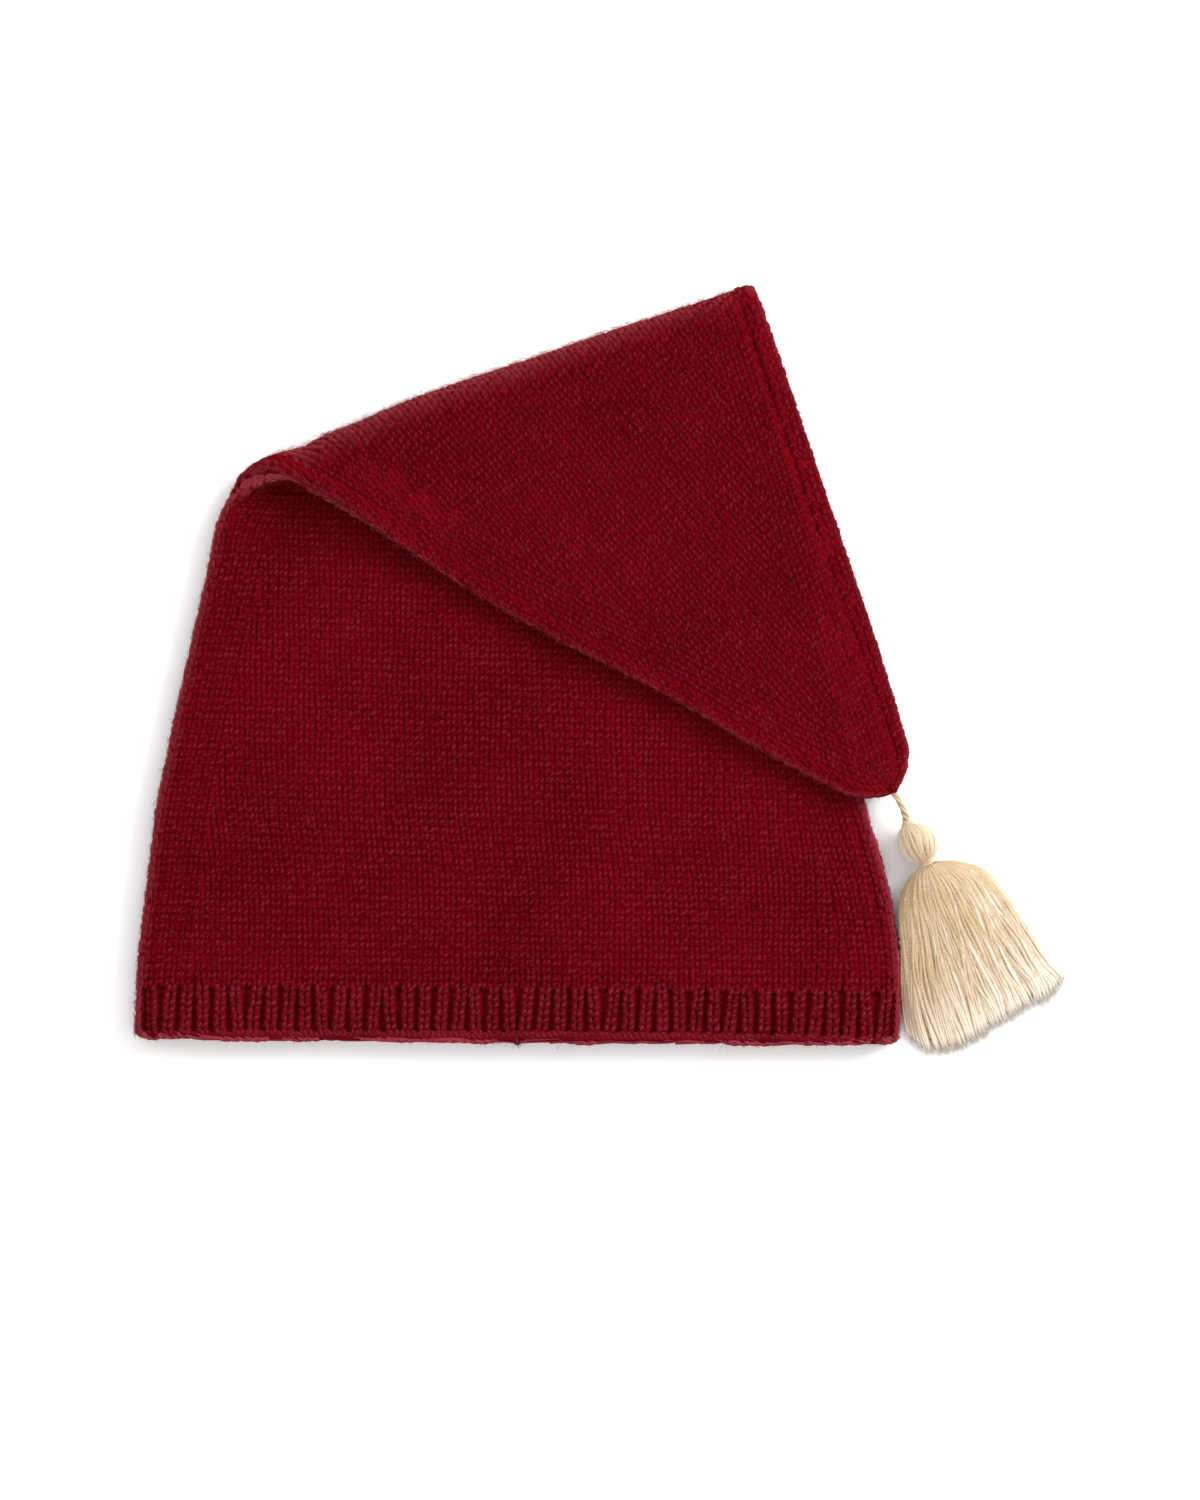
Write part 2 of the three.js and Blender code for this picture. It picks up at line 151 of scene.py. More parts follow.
def sides_at(height):
    """x of the left and right sides, with the hem's corners and the point rounded."""
    left, right = read_table(SIDES, 1, height), read_table(SIDES, 2, height)
    past = np.clip((height - (TIP_HEIGHT - TIP_ROUND)) / TIP_ROUND, 0, 1)
    half = (right - left) / 2 * np.sqrt(1 - past**2)
    half = half - HEM_ROUND * (1 - np.sqrt(1 - np.clip(1 - height / HEM_ROUND, 0, 1) ** 2))
    return (left + right) / 2 - half, (left + right) / 2 + half


def pattern_point(x, height):
    """A place on the flat pattern, from x and the height above the hem."""
    left, right = SIDES[0, 1], SIDES[0, 2]
    tilt = HEM_TILT * (2 * (x - left) / (right - left) - 1)
    return x, HEM_Y + height + tilt * np.maximum(0, 1 - height / TILT_HEIGHT)


def bow(along):
    """How far the crest lies below its straight line."""
    dent = DENT_DEPTH * np.exp(-((along - DENT_AT) / DENT_WIDTH) ** 2)
    return BOW_DEPTH * (1 - smoothstep(along, BOW_FROM, BOW_TO)) + dent


def fold_terms(x, y):
    """How far a flat point lies along the crest, the roll's radius, half thickness and start
    there, and how far the point is past that start."""
    along = (x - CREST[0]) * ALONG[0] + (y - CREST[1]) * ALONG[1]
    share = np.clip(along / CREST_LENGTH, 0, 1)
    radius, half = blend(*ROLL, share), blend(*HALF_ROLL, share)
    start = -(radius + half) - bow(along)
    past = (x - CREST[0]) * ACROSS[0] + (y - CREST[1]) * ACROSS[1] - start
    return along, radius, half, start, past


def half_thickness(past, radius, half):
    """Half the cap's thickness, this far past the start of the roll."""
    body = blend(half, HALF_BODY, smoothstep(-past, 0, THINNING))
    flap = blend(half, HALF_FLAP, smoothstep(past - np.pi * radius, 0, FLAP_THINNING))
    return np.where(past < 0, body, flap)


def thickness_at(x, y):
    """Half the cap's thickness at a flat point, away from its sides."""
    _, radius, half, _, past = fold_terms(x, y)
    return half_thickness(past, radius, half)


def drape(x, y, offset):
    """Where a flat point lies once the cap is folded. Its offset from the middle of the cap is
    positive on the front panel's side."""
    along, radius, half, start, past = fold_terms(x, y)
    turn = np.clip(past / radius, 0, np.pi)
    run = np.maximum(past - np.pi * radius, 0)
    reach = radius - offset
    on_roll = start + reach * np.sin(turn)
    across = np.where(turn < np.pi, on_roll, start - run)
    flat_x = CREST[0] + along * ALONG[0] + across * ACROSS[0]
    flat_y = CREST[1] + along * ALONG[1] + across * ACROSS[1]
    body = half_thickness(-run, radius, half)
    body_side = read_table(SIDES, 2, flat_y - HEM_Y)
    sag = SAG * np.maximum(0, flat_x - body_side + HANGOVER)
    resting = 2 * body + FLAP_CLEARANCE + HALF_FLAP
    flap_z = blend(half + 2 * radius, resting, smoothstep(run, 0, SETTLING)) - sag - offset
    z = np.where(turn < np.pi, half + radius - reach * np.cos(turn), flap_z)
    unfolded = past <= 0
    return np.stack([
        np.where(unfolded, x, flat_x),
        np.where(unfolded, y, flat_y),
        np.where(unfolded, half_thickness(past, radius, half) + offset, z),
    ], axis=-1)


def rib_lean(rib, height):
    """How far, in ribs, each rib strays from its place: none of them stands quite straight."""
    stray = RIB_STRAY * np.sin(rib * 2.7) + RIB_SMALL_STRAY * np.sin(rib * 5.1 + 2)
    return stray * (height / RIB_PIVOT - 1)


def rib_relief(share, height):
    """How far below the tops of the ribs the hem's face lies. The dips between ribs are narrow,
    and fade out a little way into the plain knitting above them."""
    rib = share * RIBS
    rib = rib - rib_lean(np.floor(rib) + 0.5, height) * DIP_FOLLOWS
    dip = np.abs(np.cos(np.pi * rib)) ** RIB_DIP
    fades = 1 - smoothstep(height + FADE_UNEVEN * np.sin(np.floor(rib + 0.5) * 3.1),
                           RIB_DEPTH - RIB_FADE, RIB_DEPTH + RIB_FADE)
    fades = fades * blend(LIP_DIP, 1, smoothstep(height, *LIP_RISE))
    return RIB_RELIEF * fades * dip


def pocket(panel, inset, x, y):
    """How far the front dips where it turns up under the left end of the fold."""
    if panel == BACK:
        return 0.0
    dip = POCKET_DEPTH * np.exp(-((x - POCKET[0]) / POCKET_SIZE[0]) ** 2
                                - ((y - POCKET[1]) / POCKET_SIZE[1]) ** 2)
    return dip * smoothstep(inset, *POCKET_SIDE)


def groove(inset, height, column):
    """How deep the seam's groove is, this far in from a side."""
    at = read_table(GROOVES, column, height)
    uneven = 1 + GROOVE_UNEVEN * np.sin(height / 4.1) * np.sin(height / 11.3 + column)
    return GROOVE_DEPTH * uneven * np.exp(-((inset - at) / GROOVE_WIDTH) ** 2)


def softness(x, y):
    """The loose fabric's slow rise and fall, never above its full thickness. Its three waves, like
    the others in this script, have lengths and phases that don't repeat in step."""
    waves = np.sin(x / 19 + y / 31) + np.sin(y / 14 - x / 47 + 1.3) + np.sin((x + y) / 11 + 4)
    return SOFTNESS * (waves - 3)


def rounded(inset, half):
    """How far the cap's outer face lies from its middle, this far in from a side."""
    rise = np.sqrt(1 - (1 - np.clip(inset / SIDE_ROUND, 0, 1)) ** 2)
    return blend(SEAM_EDGE, half, rise)


def face_point(panel, x, height, raised):
    """A point on a panel's outer face, away from its sides, raised above that face."""
    left, right = sides_at(height)
    px, py = pattern_point(x, height)
    inset = np.clip(np.minimum(x - left, right - x), 0, None)
    offset = rounded(inset, thickness_at(px, py)) + softness(px, py)
    offset = offset - groove(x - left, height, 1) - groove(right - x, height, 2)
    offset = offset - rib_relief((x - left) / (right - left), height)
    offset = offset - pocket(panel, inset, px, py)
    return drape(px, py, panel * (offset + raised))


def edge_reach(half):
    """The length round the cap's rounded side, from its flat edge to its full thickness."""
    return np.pi / 2 * np.sqrt((SIDE_ROUND**2 + (half - SEAM_EDGE) ** 2) / 2)


def edge_point(panel, column, round_edge, height, raised):
    """A point on a panel, given how far round the side it lies from the seam between the two
    panels. Column 1 is the left side and 2 the right."""
    left, right = sides_at(height)
    side_x = left if column == 1 else right
    inwards = 1 if column == 1 else -1
    half = thickness_at(*pattern_point(side_x, height))
    reach = edge_reach(half)
    turn = np.clip((round_edge - SEAM_EDGE) / reach, 0, 1) * np.pi / 2
    inset = SIDE_ROUND * (1 - np.cos(turn)) + np.maximum(round_edge - SEAM_EDGE - reach, 0)
    offset = np.minimum(round_edge, SEAM_EDGE) + (half - SEAM_EDGE) * np.sin(turn)
    normal = unit(np.stack([
        -(half - SEAM_EDGE) * np.cos(turn), SIDE_ROUND * np.sin(turn),
    ], axis=-1))
    rise = raised - groove(inset, height, column)
    inset = inset + normal[..., 0] * rise
    offset = offset + normal[..., 1] * rise
    before, after = sides_at(height - 1), sides_at(height + 1)
    lean = (after[column - 1] - before[column - 1]) / 2
    spread = np.minimum(np.sqrt(1 + lean**2), MOST_LEAN)
    inset = np.minimum(inset * spread, (right - left) / 2)
    x = side_x + inwards * inset
    px, py = pattern_point(x, height)
    offset = offset + softness(px, py) * smoothstep(inset, *SOFT_SIDE)
    offset = offset - pocket(panel, inset, px, py)
    return drape(px, py, panel * offset)


# ---- meshes from arrays

def piece(name, points, faces, material, corner_uv=None, **shades):
    """One mesh object from points in millimetres and arrays of triangles or quads. Nothing goes
    below the table."""
    mesh = bpy.data.meshes.new(name)
    points = np.maximum(points, (-np.inf, -np.inf, 0))
    mesh.vertices.add(len(points))
    mesh.vertices.foreach_set("co", (points / 1000).astype(np.float32).ravel())
    corners = np.concatenate([part.ravel() for part in faces]).astype(np.int32)
    sizes = np.concatenate([np.full(len(part), part.shape[1]) for part in faces])
    mesh.loops.add(len(corners))
    mesh.loops.foreach_set("vertex_index", corners)
    mesh.polygons.add(len(sizes))
    mesh.polygons.foreach_set("loop_start", (np.cumsum(sizes) - sizes).astype(np.int32))
    mesh.update(calc_edges=True)
    mesh.polygons.foreach_set("use_smooth", np.ones(len(sizes), bool))
    for key, values in shades.items():
        layer = mesh.attributes.new(key, "FLOAT", "POINT")
        layer.data.foreach_set("value", values.astype(np.float32).ravel())
    if corner_uv is not None:
        layer = mesh.uv_layers.new(name="knit")
        layer.data.foreach_set("uv", corner_uv.astype(np.float32).ravel())
    mesh.materials.append(material)
    made = bpy.data.objects.new(name, mesh)
    bpy.context.scene.collection.objects.link(made)
    return made


def steepness(ups):
    """0 where wool faces straight up or down, and 1 where it faces sideways. It also serves as the
    share of
    painted sheen: wool is painted paler where it faces sideways, at folds, seams and rims."""
    return 1 - np.abs(ups[..., 2])


def ring_quads(rings, around):
    """Quads between each ring of points and the next."""
    j = np.arange(around)
    k = (j + 1) % around
    r = np.arange(rings - 1)[:, None] * around
    return np.stack([r + j, r + around + j, r + around + k, r + k], axis=-1).reshape(-1, 4)


def yarn_piece(name, paths, ups, widths, heights, sides, material, **shades):
    """Many closed lengths of yarn in one mesh. paths is (yarns, stations, 3); each yarn comes to
    a point at both ends. ups says which way a section's height lies, and widths and heights are
a point at both ends. ups says which way a section's height lies, and widths and heights are
    its half sizes. A shade is a value for each station, or one that they share."""
    count, stations, _ = paths.shape
    tangents = unit(np.gradient(paths, axis=1))
    across = unit(np.cross(tangents, ups))
    up = np.cross(across, tangents)
    angle = 2 * np.pi * (np.arange(sides) + 0.5) / sides
    inner = slice(1, stations - 1)
    widths = np.broadcast_to(widths, (count, stations))[:, inner, None, None]
    heights = np.broadcast_to(heights, (count, stations))[:, inner, None, None]
    rings = (paths[:, inner, None, :]
             + widths * np.cos(angle)[:, None] * across[:, inner, None, :]
             + heights * np.sin(angle)[:, None] * up[:, inner, None, :])
    ring_points = (stations - 2) * sides
    points = np.concatenate([
        rings.reshape(count, ring_points, 3), paths[:, :1], paths[:, -1:],
    ], axis=1)
    j = np.arange(sides)
    k = (j + 1) % sides
    quads = ring_quads(stations - 2, sides)
    last = ring_points - sides
    first_fan = np.stack([np.full(sides, ring_points), j, k], axis=-1)
    last_fan = np.stack([np.full(sides, ring_points + 1), last + k, last + j], axis=-1)
    each = (np.arange(count) * (ring_points + 2))[:, None, None]
    faces = [(quads + each).reshape(-1, 4),
             (np.concatenate([first_fan, last_fan]) + each).reshape(-1, 3)]
    length = np.concatenate([
        np.zeros((count, 1)), np.cumsum(np.linalg.norm(np.diff(paths, axis=1), axis=-1), axis=1),
    ], axis=1)
    turns = (j + 0.5) / sides
    quad_u = np.stack([turns, turns, turns + 1 / sides, turns + 1 / sides], axis=-1)
    quad_u = np.broadcast_to(quad_u[None, None], (count, stations - 3, sides, 4))
    low, high = length[:, 1:stations - 2, None], length[:, 2:stations - 1, None]
    low = np.broadcast_to(low, (count, stations - 3, sides))
    high = np.broadcast_to(high, (count, stations - 3, sides))
    quad_v = np.stack([low, high, high, low], axis=-1)
    fan_u = np.stack([turns + 0.5 / sides, turns, turns + 1 / sides], axis=-1)
    fan_u = np.broadcast_to(np.concatenate([fan_u, fan_u[:, [0, 2, 1]]])[None],
                            (count, 2 * sides, 3))
    ends = np.stack([length[:, [0, -1]], length[:, [1, -2]], length[:, [1, -2]]], axis=-1)
    fan_v = np.repeat(ends, sides, axis=1)
    corner_uv = np.concatenate([
        np.stack([quad_u, quad_v], axis=-1).reshape(-1, 2),
        np.stack([fan_u, fan_v], axis=-1).reshape(-1, 2),
    ])

    def on_points(values):
        on_rings = np.repeat(values[:, inner], sides, axis=1)
        return np.concatenate([on_rings, values[:, :1], values[:, -1:]], axis=1)

    # By default the painted sheen is as strong as the wool is steep.
    shades.setdefault("rubbed", steepness(np.broadcast_to(ups, paths.shape)))
    spread = {key: on_points(np.broadcast_to(values, (count, stations)))
              for key, values in shades.items()}
    return piece(name, points.reshape(-1, 3), faces, material, corner_uv, **spread)


# ---- materials

def linear(hex_colour):
    """An sRGB hex colour as linear RGBA."""
    channels = [int(hex_colour[i:i + 2], 16) / 255 for i in (1, 3, 5)]
    return [c / 12.92 if c <= 0.04045 else ((c + 0.055) / 1.055) ** 2.4 for c in channels] + [1]


def add_node(material, kind, inputs=None, **settings):
    """Adds a node with its settings, and links or sets its inputs."""
    made = material.node_tree.nodes.new(kind)
    for key, value in settings.items():
        setattr(made, key, value)
    for key, value in (inputs or {}).items():
        if isinstance(value, bpy.types.NodeSocket):
            material.node_tree.links.new(value, made.inputs[key])
        else:
            made.inputs[key].default_value = value
    return made


def new_material(name):
    """An empty node material, and its output."""
    material = bpy.data.materials.new(name)
    material.use_nodes = True
    material.node_tree.nodes.clear()
    return material, add_node(material, "ShaderNodeOutputMaterial")


# Texture coordinates on an object are in metres. "knit" coordinates on a yarn go once round it in U
# and one to each millimetre along it in V, and on a cloth they count its wales and rows.
MM_IN_METRE = 1000.0
WOOL_IOR = 1.55
WOOL_SPECULAR = 0.005    # scaly fibres scatter nearly all the light, so there is no gloss
PLIES = 2
TWIST_STARTS = 3.7       # turns of the twist between two yarns whose shades differ by one
STREAKS_ROUND, STREAKS_ALONG = 7.0, 0.9  # once round a yarn, and to each millimetre along it
PATCH_DEPTH = 3.9        # how much the slow patches of tone count against a yarn's painted light
DEEP_TO_BODY = (1.55, 3.45)
UPPER_HIGHLIGHT, SHADE_PALE = 0.6, 0.5  # the painted highlight on a yarn's upper side, and how much its own shade pales it
BODY_TO_TIP = (1.0, 1.7)
V_RISE = 1.1             # how many rows the arms of a V rise over one wale
ROW_RELIEF, FUZZ_RELIEF = 0.4, 0.8  # height of the cloth's rows and fibres against its legs
FUZZ_SIZE = 0.625        # a fibre is about 0.02 mm, which is too fine to show
GROUND_TONES = (0.1, 1.5)
GROUND_BUMP = 0.5


def yarn_material(name, deep, body, tip, painted_sheen_colour, painted_sheen_cover, sheen, sheen_tint, ply_pitch,
                  ply_depth, ply_bump, patches):
    """Loosely plied wool. It is darker and more saturated in slow random patches of tone, and in
    painted shade where an attribute marks a place as less lit, such as where a leg dives under the
    next. Its upper side gets a painted highlight, paler here and there, and places that face sideways
    are painted paler still, a painted sheen of loose fibres. The plies wind round it as a slanting
    ridge with this pitch, and streaks of fibre run along it, drawn coarser than real ones so that they
    show.
    Sizes are in millimetres, and patches counts its slow changes of tone to a metre."""
    material, output = new_material(name)
    shade = add_node(material, "ShaderNodeAttribute", attribute_name="shade")
    crown = add_node(material, "ShaderNodeAttribute", attribute_name="crown")
    uv = add_node(material, "ShaderNodeUVMap", uv_map="knit")
    place = add_node(material, "ShaderNodeTexCoord")
    streak_place = add_node(material, "ShaderNodeMapping", {
        "Vector": uv.outputs["UV"], "Scale": (STREAKS_ROUND, STREAKS_ALONG, 1.0)})
    streaks = add_node(material, "ShaderNodeTexNoise", {
        "Vector": streak_place.outputs["Vector"], "Scale": 1.0, "Detail": 3.0,
        "Roughness": 0.6})
    tone = add_node(material, "ShaderNodeTexNoise", {
        "Vector": place.outputs["Object"], "Scale": patches, "Detail": 3.0,
        "Roughness": 0.55})
    parts = add_node(material, "ShaderNodeSeparateXYZ", {"Vector": uv.outputs["UV"]})
    wound = add_node(material, "ShaderNodeMath", {
        0: parts.outputs["Y"], 1: 1 / ply_pitch, 2: parts.outputs["X"]}, operation="MULTIPLY_ADD")
    # Each length of yarn starts at its own place in the twist.
    shifted = add_node(material, "ShaderNodeMath", {
        0: shade.outputs["Fac"], 1: TWIST_STARTS, 2: wound.outputs[0]}, operation="MULTIPLY_ADD")
    turned = add_node(material, "ShaderNodeMath", {
        0: shifted.outputs[0], 1: 2 * math.pi * PLIES}, operation="MULTIPLY")
    plies = add_node(material, "ShaderNodeMath", {0: turned.outputs[0]}, operation="SINE")
    ridge = add_node(material, "ShaderNodeMath", {
        0: plies.outputs[0], 1: ply_depth, 2: streaks.outputs["Fac"]}, operation="MULTIPLY_ADD")
    # U is a quarter on the yarn's upper side.
    from_crest = add_node(material, "ShaderNodeMath", {
        0: parts.outputs["X"], 1: 2 * math.pi, 2: -math.pi / 2}, operation="MULTIPLY_ADD")
    crest = add_node(material, "ShaderNodeMath", {0: from_crest.outputs[0]}, operation="COSINE")
    # Painted shade: the colour goes towards the deep one where the painted light in its attribute is
    # low, as at a leg's ends where it dives under the next row, and in the slow patches of tone.
    depth = add_node(material, "ShaderNodeMath", {
        0: tone.outputs["Fac"], 1: PATCH_DEPTH, 2: crown.outputs["Fac"]}, operation="MULTIPLY_ADD")
    low = add_node(material, "ShaderNodeMapRange", {
        "Value": depth.outputs[0], "From Min": DEEP_TO_BODY[0], "From Max": DEEP_TO_BODY[1]})
    base = add_node(material, "ShaderNodeMix", {
        0: low.outputs["Result"], 6: linear(deep), 7: linear(body)}, data_type="RGBA")
    # A painted highlight on the yarn's upper side, added to its ply ridges and streaks.
    upper = add_node(material, "ShaderNodeMath", {
        0: crest.outputs[0], 1: UPPER_HIGHLIGHT, 2: ridge.outputs[0]}, operation="MULTIPLY_ADD")
    raised = add_node(material, "ShaderNodeMath", {
        0: shade.outputs["Fac"], 1: SHADE_PALE, 2: upper.outputs[0]}, operation="MULTIPLY_ADD")
    # Painted highlight: the paler flecks grow with the painted light.
    flecks_and_highlight = add_node(material, "ShaderNodeMath", {
        0: raised.outputs[0], 1: crown.outputs["Fac"]}, operation="MULTIPLY")
    paler = add_node(material, "ShaderNodeMapRange", {
        "Value": flecks_and_highlight.outputs[0], "From Min": BODY_TO_TIP[0], "From Max": BODY_TO_TIP[1]})
    colour = add_node(material, "ShaderNodeMix", {
        0: paler.outputs["Result"], 6: base.outputs[2], 7: linear(tip)}, data_type="RGBA")
    # Painted sheen: places marked for it, mostly where the wool faces sideways at folds, seams and
    # rims, are mixed towards a pale fibre colour.
    rubbed = add_node(material, "ShaderNodeAttribute", attribute_name="rubbed")
    cover = add_node(material, "ShaderNodeMath", {
        0: rubbed.outputs["Fac"], 1: painted_sheen_cover}, operation="MULTIPLY")
    covered = add_node(material, "ShaderNodeMix", {
        0: cover.outputs[0], 6: colour.outputs[2], 7: linear(painted_sheen_colour)}, data_type="RGBA")
    bump = add_node(material, "ShaderNodeBump", {
        "Height": ridge.outputs[0], "Strength": 0.7, "Distance": ply_bump / MM_IN_METRE})
    wool = add_node(material, "ShaderNodeBsdfPrincipled", {
        "Base Color": covered.outputs[2], "Normal": bump.outputs["Normal"], "Roughness": 0.92,
        "Specular IOR Level": WOOL_SPECULAR, "IOR": WOOL_IOR, "Sheen Weight": sheen,
        "Sheen Roughness": 0.3, "Sheen Tint": linear(sheen_tint)})
    material.node_tree.links.new(wool.outputs["BSDF"], output.inputs["Surface"])
    return material


def ground_material(name, deep, body, sheen, sheen_tint):
    """The knitted cloth under and between the modelled stitches. Its own V stitches are drawn
    at their real size, a wale across and a row high, as a bump, with painted shade that darkens the
    bump's low parts. The fibres on it are drawn coarser than real ones, so that they show."""
    material, output = new_material(name)
    uv = add_node(material, "ShaderNodeUVMap", uv_map="knit")
    place = add_node(material, "ShaderNodeTexCoord")
    parts = add_node(material, "ShaderNodeSeparateXYZ", {"Vector": uv.outputs["UV"]})
    # Across one wale, a leg's ridge lies in the middle of each half, and leans outwards going up.
    mirrored = add_node(material, "ShaderNodeMath", {
        0: parts.outputs["X"], 1: 0.5}, operation="PINGPONG")
    legs = add_node(material, "ShaderNodeMath", {
        0: mirrored.outputs[0], 1: 2 * math.pi}, operation="MULTIPLY")
    ridge = add_node(material, "ShaderNodeMath", {0: legs.outputs[0]}, operation="SINE")
    lifted = add_node(material, "ShaderNodeMath", {
        0: mirrored.outputs[0], 1: -V_RISE, 2: parts.outputs["Y"]}, operation="MULTIPLY_ADD")
    rows = add_node(material, "ShaderNodeMath", {
        0: lifted.outputs[0], 1: 2 * math.pi}, operation="MULTIPLY")
    row_wave = add_node(material, "ShaderNodeMath", {0: rows.outputs[0]}, operation="SINE")
    stitch = add_node(material, "ShaderNodeMath", {
        0: row_wave.outputs[0], 1: ROW_RELIEF, 2: ridge.outputs[0]}, operation="MULTIPLY_ADD")
    fibres = add_node(material, "ShaderNodeTexNoise", {
        "Vector": place.outputs["Object"], "Scale": MM_IN_METRE / FUZZ_SIZE, "Detail": 2.0})
    height = add_node(material, "ShaderNodeMath", {
        0: fibres.outputs["Fac"], 1: FUZZ_RELIEF, 2: stitch.outputs[0]}, operation="MULTIPLY_ADD")
    low = add_node(material, "ShaderNodeMapRange", {
        "Value": height.outputs[0], "From Min": GROUND_TONES[0], "From Max": GROUND_TONES[1]})
    colour = add_node(material, "ShaderNodeMix", {
        0: low.outputs["Result"], 6: linear(deep), 7: linear(body)}, data_type="RGBA")
    bump = add_node(material, "ShaderNodeBump", {
        "Height": height.outputs[0], "Strength": 0.9, "Distance": GROUND_BUMP / MM_IN_METRE})
    wool = add_node(material, "ShaderNodeBsdfPrincipled", {
        "Base Color": colour.outputs[2], "Normal": bump.outputs["Normal"], "Roughness": 0.95,
        "Specular IOR Level": WOOL_SPECULAR, "IOR": WOOL_IOR, "Sheen Weight": sheen,
        "Sheen Roughness": 0.5, "Sheen Tint": linear(sheen_tint)})
    material.node_tree.links.new(wool.outputs["BSDF"], output.inputs["Surface"])
    return material


def fibre_material(name, root, end):
    """Loose fibres that stand off the yarn, a little lighter than the wool around it, with light
    passing through them. Their shade mixes their colour from the root one towards a paler one, which on
    steep places is painted sheen."""
    material, output = new_material(name)
    shade = add_node(material, "ShaderNodeAttribute", attribute_name="shade")
    colour = add_node(material, "ShaderNodeMix", {
        0: shade.outputs["Fac"], 6: linear(root), 7: linear(end)}, data_type="RGBA")
    wool = add_node(material, "ShaderNodeBsdfPrincipled", {
        "Base Color": colour.outputs[2], "Roughness": 0.8, "Specular IOR Level": 0.05,
        "IOR": WOOL_IOR})
    through = add_node(material, "ShaderNodeBsdfTranslucent", {"Color": colour.outputs[2]})
    both = add_node(material, "ShaderNodeMixShader", {
        0: 0.5, 1: wool.outputs["BSDF"], 2: through.outputs["BSDF"]})
    material.node_tree.links.new(both.outputs["Shader"], output.inputs["Surface"])
    return material


# Dyed lambswool, worsted spun and knitted at 30 stitches to 10 cm: a deep blue-leaning red that
# goes nearly black in the gaps, partly by painted shade, with a dull pinkish painted sheen of loose
# fibre where it faces sideways.
RED_YARN = dict(painted_sheen_colour="#c0545f", sheen_tint="#c04a58", ply_pitch=3.6, ply_depth=0.35,
                ply_bump=0.12)
red_wool = yarn_material("red_lambswool", deep="#49020a", body="#5c030b", tip="#681722",
                         painted_sheen_cover=0.42, sheen=0.04, patches=26.0, **RED_YARN)
# In the ribs the same yarn has paler tops and a tone that changes faster.
rib_wool = yarn_material("red_lambswool_rib", deep="#48040a", body="#610913", tip="#722430",
                         painted_sheen_cover=0.45, sheen=0.06, patches=70.0, **RED_YARN)
# The cloth is painted paler than the yarn: painted light that eases the shade between the stitches.
red_ground = ground_material("red_knitted_cloth", deep="#5a040b", body="#6c050e", sheen=0.010,
                             sheen_tint="#c04a58")
red_fibre = fibre_material("red_loose_fibre", root="#640610", end="#c05a66")
# Undyed wool, softly spun: warm cream, with painted ochre shade where it lies deep, and painted nearly
# white at its loose ends.
cream_wool = yarn_material("undyed_wool", deep="#ad9069", body="#bca68a", tip="#d8ccbb",
                           painted_sheen_colour="#f6eee2", painted_sheen_cover=0.75, sheen=0.05, sheen_tint="#fff6e8",
                           ply_pitch=9.0, ply_depth=0.12, ply_bump=0.08, patches=90.0)
cream_ground = ground_material("undyed_wool_core", deep="#b0987a", body="#bda78b", sheen=0.05,
                               sheen_tint="#fff6e8")
cream_fibre = fibre_material("undyed_loose_fibre", root="#fbf3e6", end="#ffffff")

# ---- the two panels of cloth

# how far in from a side the first points across the cloth lie, and how many lie between them
PANEL_EDGE = np.array([0, 0.35, 0.9, 1.6, 2.4, 3.2, 4.0, 5.0, 6.2, 7.5])
PANEL_MIDDLE = 40
LEAST_MIDDLE = 4         # the least width that is left for those between
BODY_ROWS, ROLL_ROWS, FLAP_ROWS = 30, 18, 44
CROWDING = 1.3           # the larger, the closer together the flap's rows lie at the point
# how far the cloth's face lies below the tops of its stitches; the flap is pressed flatter
SUNK = {FRONT: 0.27, BACK: 0.21}
HEM_DIP = 0.6            # and this much further where it meets the dips between the hem's ribs
GROUND_GROOVE = 0.5      # the seam's groove in it, as a share of the groove in its stitches
THINNEST = 0.25


def height_at_fold(column, share):
    """The height at which a side meets the line that lies this share round the fold."""
    low, high = 0.0, TIP_HEIGHT
    for _ in range(40):
        height = (low + high) / 2
        x, y = pattern_point(sides_at(height)[column - 1], height)
        _, radius, _, _, past = fold_terms(x, y)
        if past > share * np.pi * radius:
            high = height
        else:
            low = height
    return low


def panel_rows():
    """The heights where each row of the cloth's mesh meets the two sides: level at the hem and
    the point, and along the fold where the cap bends."""
    hem = np.array([RIB_DEPTH + KNIT_GAP] * 2)
    tip = np.array([TIP_HEIGHT - TIP_BLUNT] * 2)
    fold = [np.array([height_at_fold(1, share), height_at_fold(2, share)])
            for share in np.arange(ROLL_ROWS + 1) / ROLL_ROWS]
    rows = [blend(hem, fold[0], i / BODY_ROWS) for i in range(BODY_ROWS)]
    rows += fold[:-1]
    rows += [blend(fold[-1], tip, 1 - (1 - i / FLAP_ROWS) ** CROWDING)
             for i in range(FLAP_ROWS + 1)]
    return np.array(rows)


